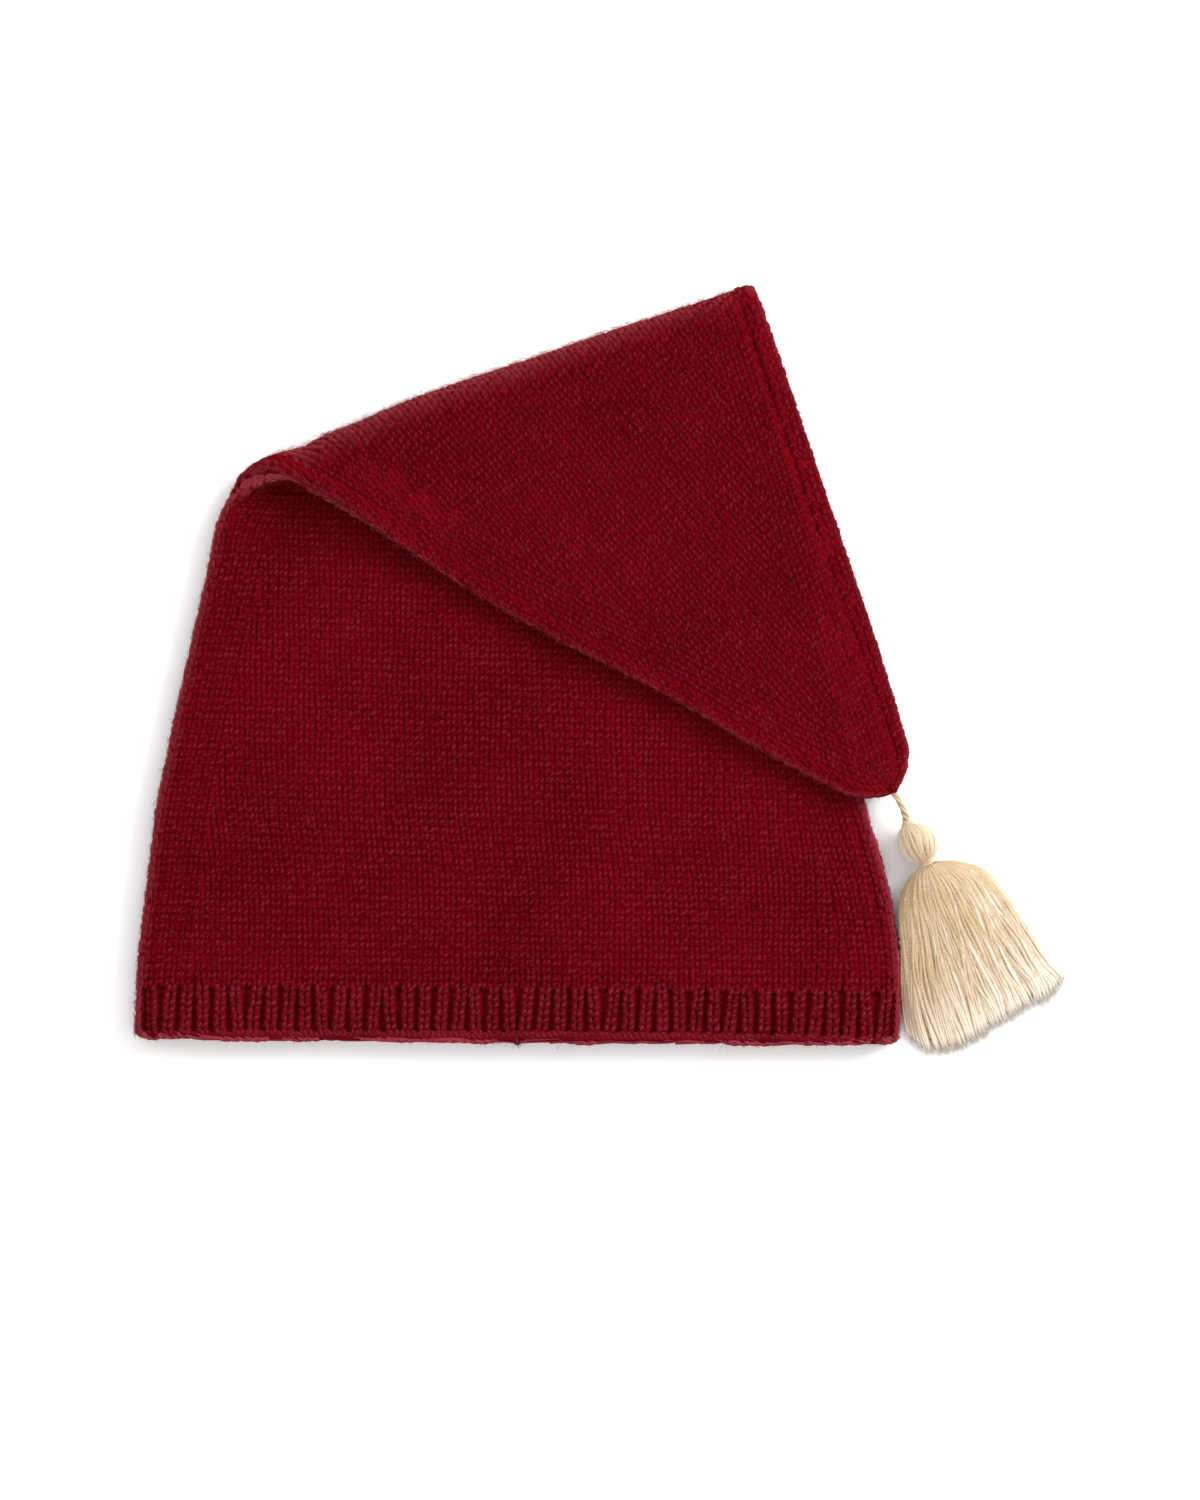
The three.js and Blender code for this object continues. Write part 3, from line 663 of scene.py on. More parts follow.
def slab_faces(rows, columns):
    """Quads of a closed slab between an outer and an inner grid of points."""
    def at(r, c, layer):
        return layer * rows * columns + r * columns + c
    r, c = (grid.ravel() for grid in np.meshgrid(np.arange(rows - 1), np.arange(columns - 1),
                                                 indexing="ij"))
    up, over = np.arange(rows - 1), np.arange(columns - 1)
    top, end = rows - 1, columns - 1
    return np.concatenate([
        np.stack([at(r, c, 0), at(r, c + 1, 0), at(r + 1, c + 1, 0), at(r + 1, c, 0)], -1),
        np.stack([at(r, c, 1), at(r + 1, c, 1), at(r + 1, c + 1, 1), at(r, c + 1, 1)], -1),
        np.stack([at(up, 0, 1), at(up, 0, 0), at(up + 1, 0, 0), at(up + 1, 0, 1)], -1),
        np.stack([at(up, end, 0), at(up, end, 1), at(up + 1, end, 1), at(up + 1, end, 0)], -1),
        np.stack([at(0, over, 1), at(0, over + 1, 1), at(0, over + 1, 0), at(0, over, 0)], -1),
        np.stack([at(top, over, 0), at(top, over + 1, 0), at(top, over + 1, 1),
                  at(top, over, 1)], -1),
    ])


def panel_cloth(name, panel):
    """A panel's knitted wall, from the ribbing to the point, as it lies folded."""
    heights = panel_rows()
    left_x, left_y = pattern_point(sides_at(heights[:, 0])[0], heights[:, 0])
    right_x, right_y = pattern_point(sides_at(heights[:, 1])[1], heights[:, 1])
    width = np.hypot(right_x - left_x, right_y - left_y)[:, None]
    squeeze = np.minimum(1, width / (2 * PANEL_EDGE[-1] + LEAST_MIDDLE))
    edge = PANEL_EDGE * squeeze
    shares = (np.arange(PANEL_MIDDLE) + 1) / (PANEL_MIDDLE + 1)
    middle = blend(edge[:, -1:], width - edge[:, -1:], shares)
    distance = np.concatenate([edge, middle, (width - edge)[:, ::-1]], axis=1)
    share = distance / width
    x = blend(left_x[:, None], right_x[:, None], share)
    y = blend(left_y[:, None], right_y[:, None], share)
    inset = np.minimum(distance, width - distance)
    height = y - HEM_Y
    outer = rounded(inset, thickness_at(x, y)) - pocket(panel, inset, x, y)
    inner = np.maximum(outer - WALL, SEAM_GAP / 2)
    face = outer - SUNK[panel] + softness(x, y) * smoothstep(inset, *SOFT_SIDE)
    grooves = groove(distance, height, 1) + groove(width - distance, height, 2)
    face = face - GROUND_GROOVE * grooves
    face = face - HEM_DIP * (1 - smoothstep(height, RIB_DEPTH, RIB_DEPTH + 2 * RIB_FADE))
    face = np.maximum(face, inner + THINNEST)
    points = np.concatenate([drape(x, y, panel * face).reshape(-1, 3),
                             drape(x, y, panel * inner).reshape(-1, 3)])
    quads = slab_faces(*x.shape)
    if panel == BACK:
        quads = quads[:, ::-1]
    middle_x = sum(sides_at(height)) / 2
    uv = np.stack([(x - middle_x) / WALE, height / ROW], -1).reshape(-1, 2)
    uv = np.concatenate([uv, uv])
    return piece(name, points, [quads], red_ground, uv[quads.ravel()])


front_cloth = panel_cloth("front_panel_cloth", FRONT)
back_cloth = panel_cloth("back_panel_cloth", BACK)

# ---- the stitches

# One leg of a stitch, from its foot to where it passes behind the next row: how far out from the
# wale's middle and how far up, in wales and rows, how high above the face and how thick.
LEG = np.array([
    # out   up    raised  half width
    (0.11, -0.34, -1.20, 0.36),
    (0.15, -0.10, -0.46, 0.86),
    (0.22, 0.28, -0.24, 0.99),
    (0.30, 0.68, -0.26, 0.99),
    (0.35, 1.04, -0.52, 0.83),
    (0.33, 1.28, -1.30, 0.36),
])
LEG_PAINTED_LIGHT = np.array([0.0, 0.45, 1.0, 1.0, 0.5, 0.0])  # painted light: how lit each place is painted; the ends, where a leg dives under, take painted shade
LEG_SIDES = 5
FLATTENED = 0.47         # a leg's half height against its half width
PRESSED = 0.39           # and on the flap, which is pressed flatter
# how far a leg strays out, and each of its stations out, then up, in height and in width
OUT_STRAY, STATION_STRAY, UP_STRAY, RAISED_STRAY, WIDTH_STRAY = 0.030, 0.008, 0.055, 0.06, 0.07
SHADE_STRAY, ROW_TONE = 0.18, 0.12  # how much stitches differ in shade, and rows
NUDGE = 0.3              # a small step out of the cloth, which gives its direction there
FLAP_PAINTED_SHEEN = 0.4          # how much painted sheen the flap's seams get against the body's
SEAM_WALES = 2           # wales on each panel's half of a rolled seam
SEAM_PULL = (0.12, 0.14)  # how far up and outwards their stitches stray
ROLLED_WIDTH = 1.05      # how wide they are against the others
ROW_SLOPE = 0.028        # rows drop a little towards the right side
SLOPE_IN, SLOPE_OUT = (10, 70), (220, 330)  # the heights over which that comes in, and goes
WAVER, SMALL_WAVER = 0.32, 0.22
LEG_MIDDLE = (2, 3)      # the stations in the middle of a leg
MIDDLE_Y = -45.0         # where the front's stitches are divided between two pieces
FACE_WALES = 40          # more than reach from a panel's middle to a side
BAND_GAP = 0.2           # in wales, between the upright wales and a fashioned band
BAND_OVERLAP = 0.6       # how far past a panel's middle a band's stitches may lie

# Stitches that can't be seen are left out, but for those that lie this near to where they can.
UNDERSIDE_MARGIN = 9     # on the back panel, underneath and below the fold
COVER_MARGIN = 14        # on the front, in under the flap
ROLL_MARGIN, ROLL_SIDE = 12, 40  # on the front inside the fold, past its start and in from a side


def row_height(x, row):
    """The height above the hem at which a row of stitches passes a place."""
    height = row * ROW
    left, right = sides_at(height)
    slope = ROW_SLOPE * smoothstep(height, *SLOPE_IN) * (1 - smoothstep(height, *SLOPE_OUT))
    return height - slope * (x - (left + right) / 2)


def waver(across, height):
    """How far the knitting drifts sideways: wales are never quite straight."""
    return (WAVER * np.sin(height / 13 + across / 9)
            + SMALL_WAVER * np.sin(height / 5.3 - across / 4.1))


def hidden(panel, x, height):
    """Whether the folded flap covers a stitch, or it lies on the underside."""
    px, py = pattern_point(x, height)
    along, radius, _, start, past = fold_terms(px, py)
    if panel == BACK:
        return past < -UNDERSIDE_MARGIN
    left, right = sides_at(height)
    inset = np.minimum(x - left, right - x)
    # where on the pattern the flap lies that covers this place
    reflected = start + np.pi * radius - past
    cover_x = CREST[0] + along * ALONG[0] + reflected * ACROSS[0]
    cover_h = CREST[1] + along * ALONG[1] + reflected * ACROSS[1] - HEM_Y
    cover_left, cover_right = sides_at(cover_h)
    cover = np.minimum(cover_x - cover_left, cover_right - cover_x)
    covered = (cover > COVER_MARGIN) & (cover_h < TIP_HEIGHT)
    return np.where(past > 0, (inset > ROLL_SIDE) | (past > ROLL_MARGIN), covered)


def leg_stations(count):
    """Each leg's own slight unevenness: out, up, raised and half width at each station."""
    legs = np.broadcast_to(LEG, (count,) + LEG.shape).copy()
    legs[..., 0] += (RNG.normal(0, OUT_STRAY, (count, 1))
                     + RNG.normal(0, STATION_STRAY, (count, len(LEG))))
    legs[..., 1] += RNG.normal(0, UP_STRAY, (count, 1))
    legs[..., 2] += RNG.normal(0, RAISED_STRAY, (count, 1))
    legs[..., 3] *= RNG.normal(1, WIDTH_STRAY, (count, 1))
    return legs


def stitch_shade(row, wale):
    """How light a stitch is: its own chance, and its row's a little."""
    row_tone = ROW_TONE * np.sin(row * 1.9) * np.sin(wale * 0.33 + row * 1.3)
    return RNG.normal(0, SHADE_STRAY, row.shape) + row_tone


class Legs:
    """Stitch legs gathered for one piece."""

    def __init__(self):
        self.paths, self.ups, self.widths, self.shades, self.rubbed = [], [], [], [], []

    def add(self, place, legs, shade, sheen_share=1.0):
        """place maps (out, up, raised) arrays to points. The last argument is how much painted sheen
        steep places get.
        """
        path = place(legs[..., 0], legs[..., 1], legs[..., 2])
        above = place(legs[..., 0], legs[..., 1], legs[..., 2] + NUDGE)
        self.paths.append(path)
        self.ups.append(unit(above - path))
        self.rubbed.append(sheen_share * steepness(self.ups[-1]))
        self.widths.append(legs[..., 3])
        self.shades.append(np.broadcast_to(shade[:, None], legs.shape[:2]))

    def make(self, name, material, flattened=FLATTENED, keep=None):
        """One piece of all these legs, or of those whose paths keep chooses."""
        paths = np.concatenate(self.paths)
        chosen = np.ones(len(paths), bool) if keep is None else keep(paths)
        widths = np.concatenate(self.widths)[chosen]
        return yarn_piece(name, paths[chosen], np.concatenate(self.ups)[chosen], widths,
                          widths * flattened, LEG_SIDES, material,
                          shade=np.concatenate(self.shades)[chosen], crown=LEG_PAINTED_LIGHT[None],
                          rubbed=np.concatenate(self.rubbed)[chosen])


def face_stitches(gathered, panel):
    """The middle of a panel: upright wales that end against the fashioned bands."""
    rows = np.arange(int(RIB_DEPTH / ROW), int(TIP_HEIGHT / ROW))
    wales = np.arange(-FACE_WALES, FACE_WALES + 1)
    row, wale = (grid.ravel().astype(float) for grid in np.meshgrid(rows, wales))
    left, right = sides_at(row * ROW)
    x = (left + right) / 2 + wale * WALE
    height = row_height(x, row)
    left, right = sides_at(height)
    band = BAND_WALES * WALE + BAND_GAP * WALE
    inside = ((x - left > read_table(GROOVES, 1, height) + band)
              & (right - x > read_table(GROOVES, 2, height) + band))
    shown = inside & ~hidden(panel, x, height)
    row, wale = row[shown], wale[shown]
    for hand in (-1, 1):
        legs = leg_stations(len(row))

        def place(out, up, raised):
            rise = (row[:, None] + up) * ROW
            low, high = sides_at(rise)
            across = (low + high) / 2 + (wale[:, None] + hand * out) * WALE
            across = across + waver(wale[:, None] * WALE, rise)
            return face_point(panel, across, row_height(across, row[:, None] + up), raised)

        gathered.add(place, legs, stitch_shade(row, wale))


def edge_stitches(gathered, panel, column, first, last, show_all=False, sheen_share=1.0):
    """Wales that follow a side. Numbers below 0 lie on the rolled seam outside the groove."""
    rows = np.arange(int(RIB_DEPTH / ROW), math.ceil(TIP_HEIGHT / ROW))
    wales = np.arange(first, last)
    row, wale = (grid.ravel().astype(float) for grid in np.meshgrid(rows, wales))

    def round_edge(wale_at, height):
        """How far round the side a wale lies from the seam."""
        side_x = sides_at(height)[column - 1]
        reach = edge_reach(thickness_at(*pattern_point(side_x, height)))
        at = read_table(GROOVES, column, height)
        turn = np.arccos(np.clip(1 - at / SIDE_ROUND, -1, 1))
        groove_at = SEAM_EDGE + reach * np.minimum(turn / (np.pi / 2), 1)
        groove_at = groove_at + np.maximum(at - SIDE_ROUND, 0)
        return np.where(wale_at < 0, groove_at * (1 + wale_at / SEAM_WALES),
                        groove_at + wale_at * WALE)

    left, right = sides_at(row * ROW)
    inwards = 1 if column == 1 else -1
    side_x = left if column == 1 else right
    inset = read_table(GROOVES, column, row * ROW) + (wale + 0.5) * WALE
    x = side_x + inwards * inset
    height = row_height(x, row)
    fits = (inset < (right - left) / 2 + BAND_OVERLAP) | (wale < 0)
    shown = fits & (show_all | ~hidden(panel, x, height))
    row, wale, x = row[shown], wale[shown], x[shown]
    slope_lift = row_height(x, row) - row * ROW
    for hand in (-1, 1):
        legs = leg_stations(len(row))
        rolled = wale[:, None] < 0
        legs[..., 3] *= np.where(rolled, ROLLED_WIDTH, 1.0)
        # The joining thread pulls the rolled stitches about, each its own way.
        legs[..., 1:3] += rolled[..., None] * RNG.normal(0, SEAM_PULL, (len(row), 1, 2))

        def place(out, up, raised):
            rise = (row[:, None] + up) * ROW + slope_lift[:, None]
            across = wale[:, None] + 0.5 + hand * inwards * out
            return edge_point(panel, column, round_edge(across, rise), rise, raised)

        # The two sides' rows change in tone each in their own way.
        gathered.add(place, legs, stitch_shade(row, wale + 50 * column), sheen_share)


front_legs, flap_legs, seam_legs = Legs(), Legs(), Legs()
face_stitches(front_legs, FRONT)
face_stitches(flap_legs, BACK)
for side_column in (1, 2):
    edge_stitches(front_legs, FRONT, side_column, 0, BAND_WALES)
    edge_stitches(flap_legs, BACK, side_column, 0, BAND_WALES)
    edge_stitches(seam_legs, FRONT, side_column, -SEAM_WALES, 0, show_all=True)
    edge_stitches(seam_legs, BACK, side_column, -SEAM_WALES, 0, show_all=True, sheen_share=FLAP_PAINTED_SHEEN)

lower_stitches = front_legs.make("front_stitches_lower", red_wool,
                                 keep=lambda paths: paths[:, LEG_MIDDLE[0], 1] < MIDDLE_Y)
upper_stitches = front_legs.make("front_stitches_upper", red_wool,
                                 keep=lambda paths: paths[:, LEG_MIDDLE[0], 1] >= MIDDLE_Y)
flap_stitches = flap_legs.make("flap_stitches", red_wool, PRESSED)
seam_stitches = seam_legs.make("seam_stitches", red_wool)

# ---- the ribbed hem

RIB_SAMPLES = 6          # points across one rib
RIB_MESH_ROWS = 10
HEM_FROM = 0.4           # the height above the hem's edge at which its cloth starts
RIB_SUNK = 0.75          # how far the cloth's face lies below the tops of the ribs' stitches
HEM_WALL = WALL + 0.9    # and how far below them its inner face lies
RIB_WALE, RIB_ROW = 3.7, 2.3  # a stitch in the ribs, across and high
HEM_WIDTH = 250.0        # a panel's hem, from seam to seam round its face
RIB_START = 1.6          # the height of the ribs' first row
RIB_TONES = 0.5          # how much the ribs' stitches differ in shade against the others
YARN_SIDES = 6
LIP_STRANDS = 3
LIP_STATIONS = 300
LIP_TURNS = 80           # how often they wind round each other, once round the mouth
LIP_WIND = 0.62          # the radius that they wind at
LIP_YARN = 0.82          # half the width of one
LIP_HEIGHT = 1.15        # how high their middle lies above the hem's edge
LIP_SUNK = 1.35          # and how far below the tops of the ribs' stitches
LIP_OUTER = 1.0          # a place less far below them, which gives the way outwards
LIP_ROUND = 2.0          # radius of their turn at the hem's two corners
LIP_PAINTED_SHEEN = 0.5           # how much painted sheen they get


def rib_place(panel, share, height, raised):
    """A point on the hem, given its share of the way across from the left seam to the right."""
    left, right = sides_at(height)
    reach = edge_reach(HALF_BODY)
    total = 2 * (SEAM_EDGE + reach) + (right - left) - 2 * SIDE_ROUND
    from_left = share * total
    on_left = edge_point(panel, 1, from_left, height, raised)
    on_right = edge_point(panel, 2, total - from_left, height, raised)
    return np.where((share < 0.5)[..., None], on_left, on_right)


def around_hem(samples):
    """Shares and panels once round the mouth: over the front, and back underneath."""
    share = (np.arange(samples) + 0.5) / samples
    return np.concatenate([share, share[::-1]]), np.repeat([FRONT, BACK], samples)


def hem_points(share, panels, height, raised):
    """Points on the hem, each on its own panel."""
    share, height, raised = np.broadcast_arrays(share, height, raised)
    front = rib_place(FRONT, share, height, raised)
    back = rib_place(BACK, share, height, raised)
    return np.where((panels == FRONT)[..., None], front, back)


def hem_cloth():
    """The hem's knitted wall, a closed ring round the mouth."""
    share, panels = around_hem(RIBS * RIB_SAMPLES)
    heights = np.linspace(HEM_FROM, RIB_DEPTH, RIB_MESH_ROWS)[:, None]
    outer = hem_points(share, panels, heights, -RIB_SUNK - rib_relief(share, heights))
    inner = hem_points(share, panels, heights, -HEM_WALL)
    count = len(share)
    i = np.arange(count)
    j = (i + 1) % count
    r = np.arange(RIB_MESH_ROWS - 1)[:, None] * count
    layer = RIB_MESH_ROWS * count
    top = (RIB_MESH_ROWS - 1) * count
    quads = np.concatenate([
        np.stack([r + i, r + j, r + count + j, r + count + i], -1).reshape(-1, 4),
        np.stack([r + i, r + count + i, r + count + j, r + j], -1).reshape(-1, 4) + layer,
        np.stack([i + layer, j + layer, j, i], -1),
        np.stack([top + i, top + j, top + j + layer, top + i + layer], -1),
    ])
    uv = np.stack(np.broadcast_arrays(share * RIBS, heights / ROW), -1).reshape(-1, 2)
    uv = np.concatenate([uv, uv])
    points = np.concatenate([outer.reshape(-1, 3), inner.reshape(-1, 3)])
    return piece("ribbed_hem_cloth", points, [quads], red_ground, uv[quads.ravel()])


def hem_stitches(gathered, panel):
    """A panel's ribs, each a wale of stitches that stands up between two dips."""
    row, rib = (grid.ravel().astype(float)
                for grid in np.meshgrid(np.arange(RIB_ROWS), np.arange(RIBS)))
    for hand in (-1, 1):
        legs = leg_stations(len(row))

        def place(out, up, raised):
            height = RIB_START + (row[:, None] + up) * RIB_ROW
            at = rib[:, None] + 0.5
            at = at + rib_lean(at, height) + hand * out * RIB_WALE * RIBS / HEM_WIDTH
            return rib_place(panel, at / RIBS, height, raised)

        gathered.add(place, legs, RIB_TONES * stitch_shade(row, rib))


def lip_paths():
    """The cast-on edge: strands that wind slowly round each other along the mouth, and which way
    is outwards along them."""
    share, panels = around_hem(LIP_STATIONS)
    wave = 0.30 * np.sin(share * 41) + 0.25 * np.sin(share * 97 + 2) + 0.15 * np.sin(share * 211)
    along = hem_points(share, panels, HEM_ROUND, -LIP_SUNK)[:, 0]
    inset = np.minimum(along - along.min(), along.max() - along)
    turned_up = LIP_ROUND - np.sqrt(LIP_ROUND**2 - np.clip(LIP_ROUND - inset, 0, LIP_ROUND) ** 2)
    height = LIP_HEIGHT + wave + turned_up
    middle = hem_points(share, panels, height, -LIP_SUNK)
    outwards = unit(hem_points(share, panels, height, -LIP_OUTER) - middle)
    forwards = np.array([0.0, -1.0, 0.0])
    turn = np.arange(len(share)) * 2 * np.pi * LIP_TURNS / len(share)
    strands = []
    for strand in range(LIP_STRANDS):
        angle = (turn + 2 * np.pi * strand / LIP_STRANDS)[:, None]
        path = middle + LIP_WIND * (np.cos(angle) * outwards + np.sin(angle) * forwards)
        strands.append(np.concatenate([path, path[:2]]))
    ups = np.concatenate([outwards, outwards[:2]])
    return np.stack(strands), np.broadcast_to(ups, (LIP_STRANDS, *ups.shape))


rib_cloth = hem_cloth()
rib_legs = Legs()
for hem_panel in (FRONT, BACK):
    hem_stitches(rib_legs, hem_panel)
rib_stitches = rib_legs.make("rib_stitches", rib_wool)
lip_strands, lip_ups = lip_paths()
cast_on = yarn_piece("cast_on_edge", lip_strands, lip_ups, LIP_YARN, LIP_YARN, YARN_SIDES, rib_wool,
                     shade=RNG.normal(0, 0.25, (LIP_STRANDS, 1)) + 0.5, crown=1.0,
                     rubbed=LIP_PAINTED_SHEEN)

# ---- the tassel

UPWARDS = np.array([0.0, 0.0, 1.0])
NECK = np.array([102.5, -60.3])
TASSEL_ANGLE = math.radians(-69)
NECK_HEIGHT = 5.4
DOWN = np.array([math.cos(TASSEL_ANGLE), math.sin(TASSEL_ANGLE)])
RIGHT = np.array([-DOWN[1], DOWN[0]])
HEAD_WIDTH, HEAD_LENGTH, HEAD_CENTRE = 12.9, 13.4, -7.2
THREAD_SLACK, THREAD_LIFT, THREAD_SIDEWAYS = 0.4, 0.4, -1.1

# distance from the neck, spread to the left and right, and heights of the underside and top
SKIRT = np.array([
    (-0.1, 2.5, 2.5, 2.9, 7.9), (1.5, 2.5, 2.5, 2.9, 7.9), (3.2, 7.4, 9.4, 0.4, 9.6),
    (7, 11.2, 14.9, 0, 10.5), (11, 13.4, 17.6, 0, 10.8), (17, 15.5, 19.5, 0, 10.4),
    (23, 17.4, 20.9, 0, 9.8), (33, 21.2, 23.3, 0, 8.4), (42, 23.6, 25.3, 0, 7.3),
    (49.5, 24.4, 28, 0, 6), (53.5, 23.6, 22.5, 0, 4.8), (58.3, 18.6, 10, 0, 3.2),
])
WIDEST = 49.5            # the distance from which the yarns no longer spread
WIDEST_RIGHT = 28        # how far they spread to the right there
SHOULDER = (-0.5, 3.2)   # the distances between which they leave the neck for their full spread
NECK_SPREAD = 2.0
# the spread that a yarn ends at, from -1 at the left to 1, and its end's distance from the neck
SKIRT_ENDS = np.array([
    (-1, 50.2), (-0.87, 55.0), (-0.68, 57.5), (-0.41, 58.5), (-0.19, 57.8), (0, 57.0),
    (0.19, 56.0), (0.38, 54.8), (0.62, 54.4), (0.82, 53.4), (1, 50.0),
])
# how many yarns lie in each layer of the skirt, and how far up its section, from -1 to 1
SKIRT_LAYERS = ((84, 0.99), (80, 0.965), (66, 0.93), (40, 0.84), (26, 0.0), (46, -0.95))
SKIRT_STATIONS = 18
SKIRT_START = 0.2        # the distance from the neck at which the yarns start
STATION_POWER = 1.5      # the larger, the closer together their stations are near the neck
SKIRT_ROUND = 0.72       # the larger, the more the skirt's section slopes to its sides
SETTLING_DOWN = (0.7, 1.0)  # the share of its length over which a yarn's end sinks to the table
SUNK_TO = 0.36
BEND, SMALL_BEND = 0.26, 0.12  # how far a yarn's two slow bends take it sideways
END_STRAY = 0.6          # how far the ends of yarns stray sideways
LENGTH_STRAY = 0.5
LOWEST_YARN = 0.4
TASSEL_YARN = 0.52       # half the width of one of its yarns
TASSEL_FLAT = 0.45       # its half height against that
PALE, PALE_SHARE = 0.9, 0.16  # how much paler some of its yarns are, and how many are
RIGHT_PAINTED_LIGHT = 0.25        # painted light: how much paler the yarns at its right are, the side towards the lamp
END_PAINTED_LIGHT = 0.42          # how much painted light pales the yarns' ends, against the shade there
CORE_STATIONS, CORE_SIDES = 26, 72
CORE_SHORT = 4.0         # how far inside the yarns' ends the core stops
CORE_UNDER = 0.3         # how far below the topmost yarns it lies
CORE_FROM, CORE_NECK = 0.6, 1.6  # the distance from the neck that it starts at, and its spread there
CORE_SPREAD = 0.95       # its spread against that of the yarns
CORE_RIDGES, CORE_RIDGE = 24, 0.03
HEAD_YARNS, HEAD_STATIONS = 44, 26
HEAD_FLAT = 0.36         # the half height of the head's yarns against their half width
HEAD_YARN, HEAD_SWELL = 0.18, 0.60  # their half width at no spread, and how much it grows to the widest
HEAD_SUNK = 0.3          # how far their middles lie inside the head's outline
HEAD_TWIST, HEAD_WAVER = 0.35, 0.05  # how far they turn and waver round it, in radians
HEAD_FROM, HEAD_TO = -15.6, 0.5
CONE_SLOPE, CONE_START, CONE_WIDEST = 0.8, 0.9, 2.3
HEAD_CORE_SIDES, HEAD_CORE_UNDER = 32, 0.4
TIE_TURNS, TIE_STATIONS = 3, 30
TIE_RADIUS, TIE_YARN = 2.5, 0.3
TIE_FROM, TIE_WIDTH = -0.2, 0.7
THREAD_STRANDS, THREAD_STATIONS = 3, 32
THREAD_TURNS, THREAD_YARN = 1.4, 0.55
THREAD_WIND = (0.45, 0.75)  # the radius that its strands wind at, at the cap and at the head
THREAD_FROM = np.array([-2.0, 2.0, 0.0])  # where it starts, against the cap's point
THREAD_TO = 0.6          # how far inside the head it ends


def tassel_point(distance, sideways, height):
    """A point from its distance past the neck, its place right of the middle and its height."""
    distance, sideways, height = np.broadcast_arrays(distance, sideways, height)
    return np.stack([NECK[0] + distance * DOWN[0] + sideways * RIGHT[0],
                     NECK[1] + distance * DOWN[1] + sideways * RIGHT[1], height], axis=-1)


def locks(spread, distance):
    """How far the yarns are drawn sideways into locks, which open and close along the skirt."""
    drawn = (1.0 * np.sin(spread * 15 + distance / 12) + 0.6 * np.sin(spread * 33 - distance / 8)
             + 0.3 * np.sin(spread * 61 + distance / 6))
    return (drawn * smoothstep(distance, 8, 30) * (1 - 0.7 * smoothstep(distance, 40, 57))
            * (1 - spread**6))


def skirt_fan(distance, on_left):
    """How far the skirt spreads to one side, this far from the neck."""
    at = np.clip(distance, SHOULDER[1], WIDEST)
    return np.where(on_left, read_table(SKIRT, 1, at), read_table(SKIRT, 2, at))


def skirt_yarns(count, layer):
    """Yarns that fan out from the neck. Layer is how far up the skirt's section they lie, from
    -1 underneath to 1 on top."""
    spread = np.linspace(-0.99, 0.99, count) + RNG.normal(0, 0.5 / count, count)
    spread = np.clip(spread, -1, 1)[:, None]
    reach = read_table(SKIRT_ENDS, 1, spread) + RNG.normal(0, LENGTH_STRAY, (count, 1))
    share = np.linspace(0, 1, SKIRT_STATIONS)[None]
    distance = blend(SKIRT_START, reach, share**STATION_POWER)
    fan = skirt_fan(distance, spread < 0)
    side = blend(NECK_SPREAD, fan - 0.2, smoothstep(distance, *SHOULDER))
    phase = RNG.uniform(0, 2 * np.pi, (count, 3))
    bend = (BEND * np.sin(distance / 8.0 + phase[:, :1])
            + SMALL_BEND * np.sin(distance / 4.1 + phase[:, 1:2]))
    stray = RNG.normal(0, END_STRAY, (count, 1)) * share**2
    wander = (bend + stray) * smoothstep(distance, 2, 14) * (1 - 0.6 * spread**8)
    sideways = side * spread + wander + locks(spread, distance)
    under, over = read_table(SKIRT, 3, distance), read_table(SKIRT, 4, distance)
    lift = np.sqrt(np.clip(1 - (spread * 0.97) ** 2, 0.03, 1)) ** SKIRT_ROUND
    middle, half = (under + over) / 2, (over - under) / 2 - TASSEL_YARN / 2
    jitter = 0.12 * np.sin(distance / 3.7 + phase[:, 2:]) + RNG.normal(0, 0.06, (count, 1))
    settled = blend(1, SUNK_TO, smoothstep(share, *SETTLING_DOWN))
    height = np.maximum((middle + half * lift * layer + jitter) * settled, LOWEST_YARN)
    return tassel_point(distance, sideways, height)


def tassel_skirt(paths):
    """The skirt's cut yarns, thinner where the tie holds them and at their ends."""
    station = np.linspace(0, 1, SKIRT_STATIONS)[None]
    half = RNG.normal(TASSEL_YARN, 0.05, (len(paths), 1))
    half = half * (0.6 + 0.4 * smoothstep(station, 0.0, 0.3)) * (1 - 0.6 * station**10)
    # Painted light and shade: less painted light near the neck, more towards the ends and more again at
    # them, and more on the right, the side towards the lamp.
    to_right = np.clip((paths[:, -1, :2] - NECK) @ RIGHT / WIDEST_RIGHT, -1, 1)[:, None]
    crown = 0.65 + 0.35 * smoothstep(station, 0.05, 0.9) + 0.2 * smoothstep(station, 0.8, 1.0)
    shade = RNG.normal(0, 0.3, (len(paths), 1))
    shade = shade + PALE * (RNG.uniform(0, 1, shade.shape) < PALE_SHARE)
    return yarn_piece("tassel_skirt_yarns", paths, np.broadcast_to(UPWARDS, paths.shape), half,
                      half * TASSEL_FLAT, YARN_SIDES, cream_wool, shade=shade,
                      rubbed=END_PAINTED_LIGHT * smoothstep(station, 0.70, 1.0),
                      crown=crown * (1 + RIGHT_PAINTED_LIGHT * to_right))


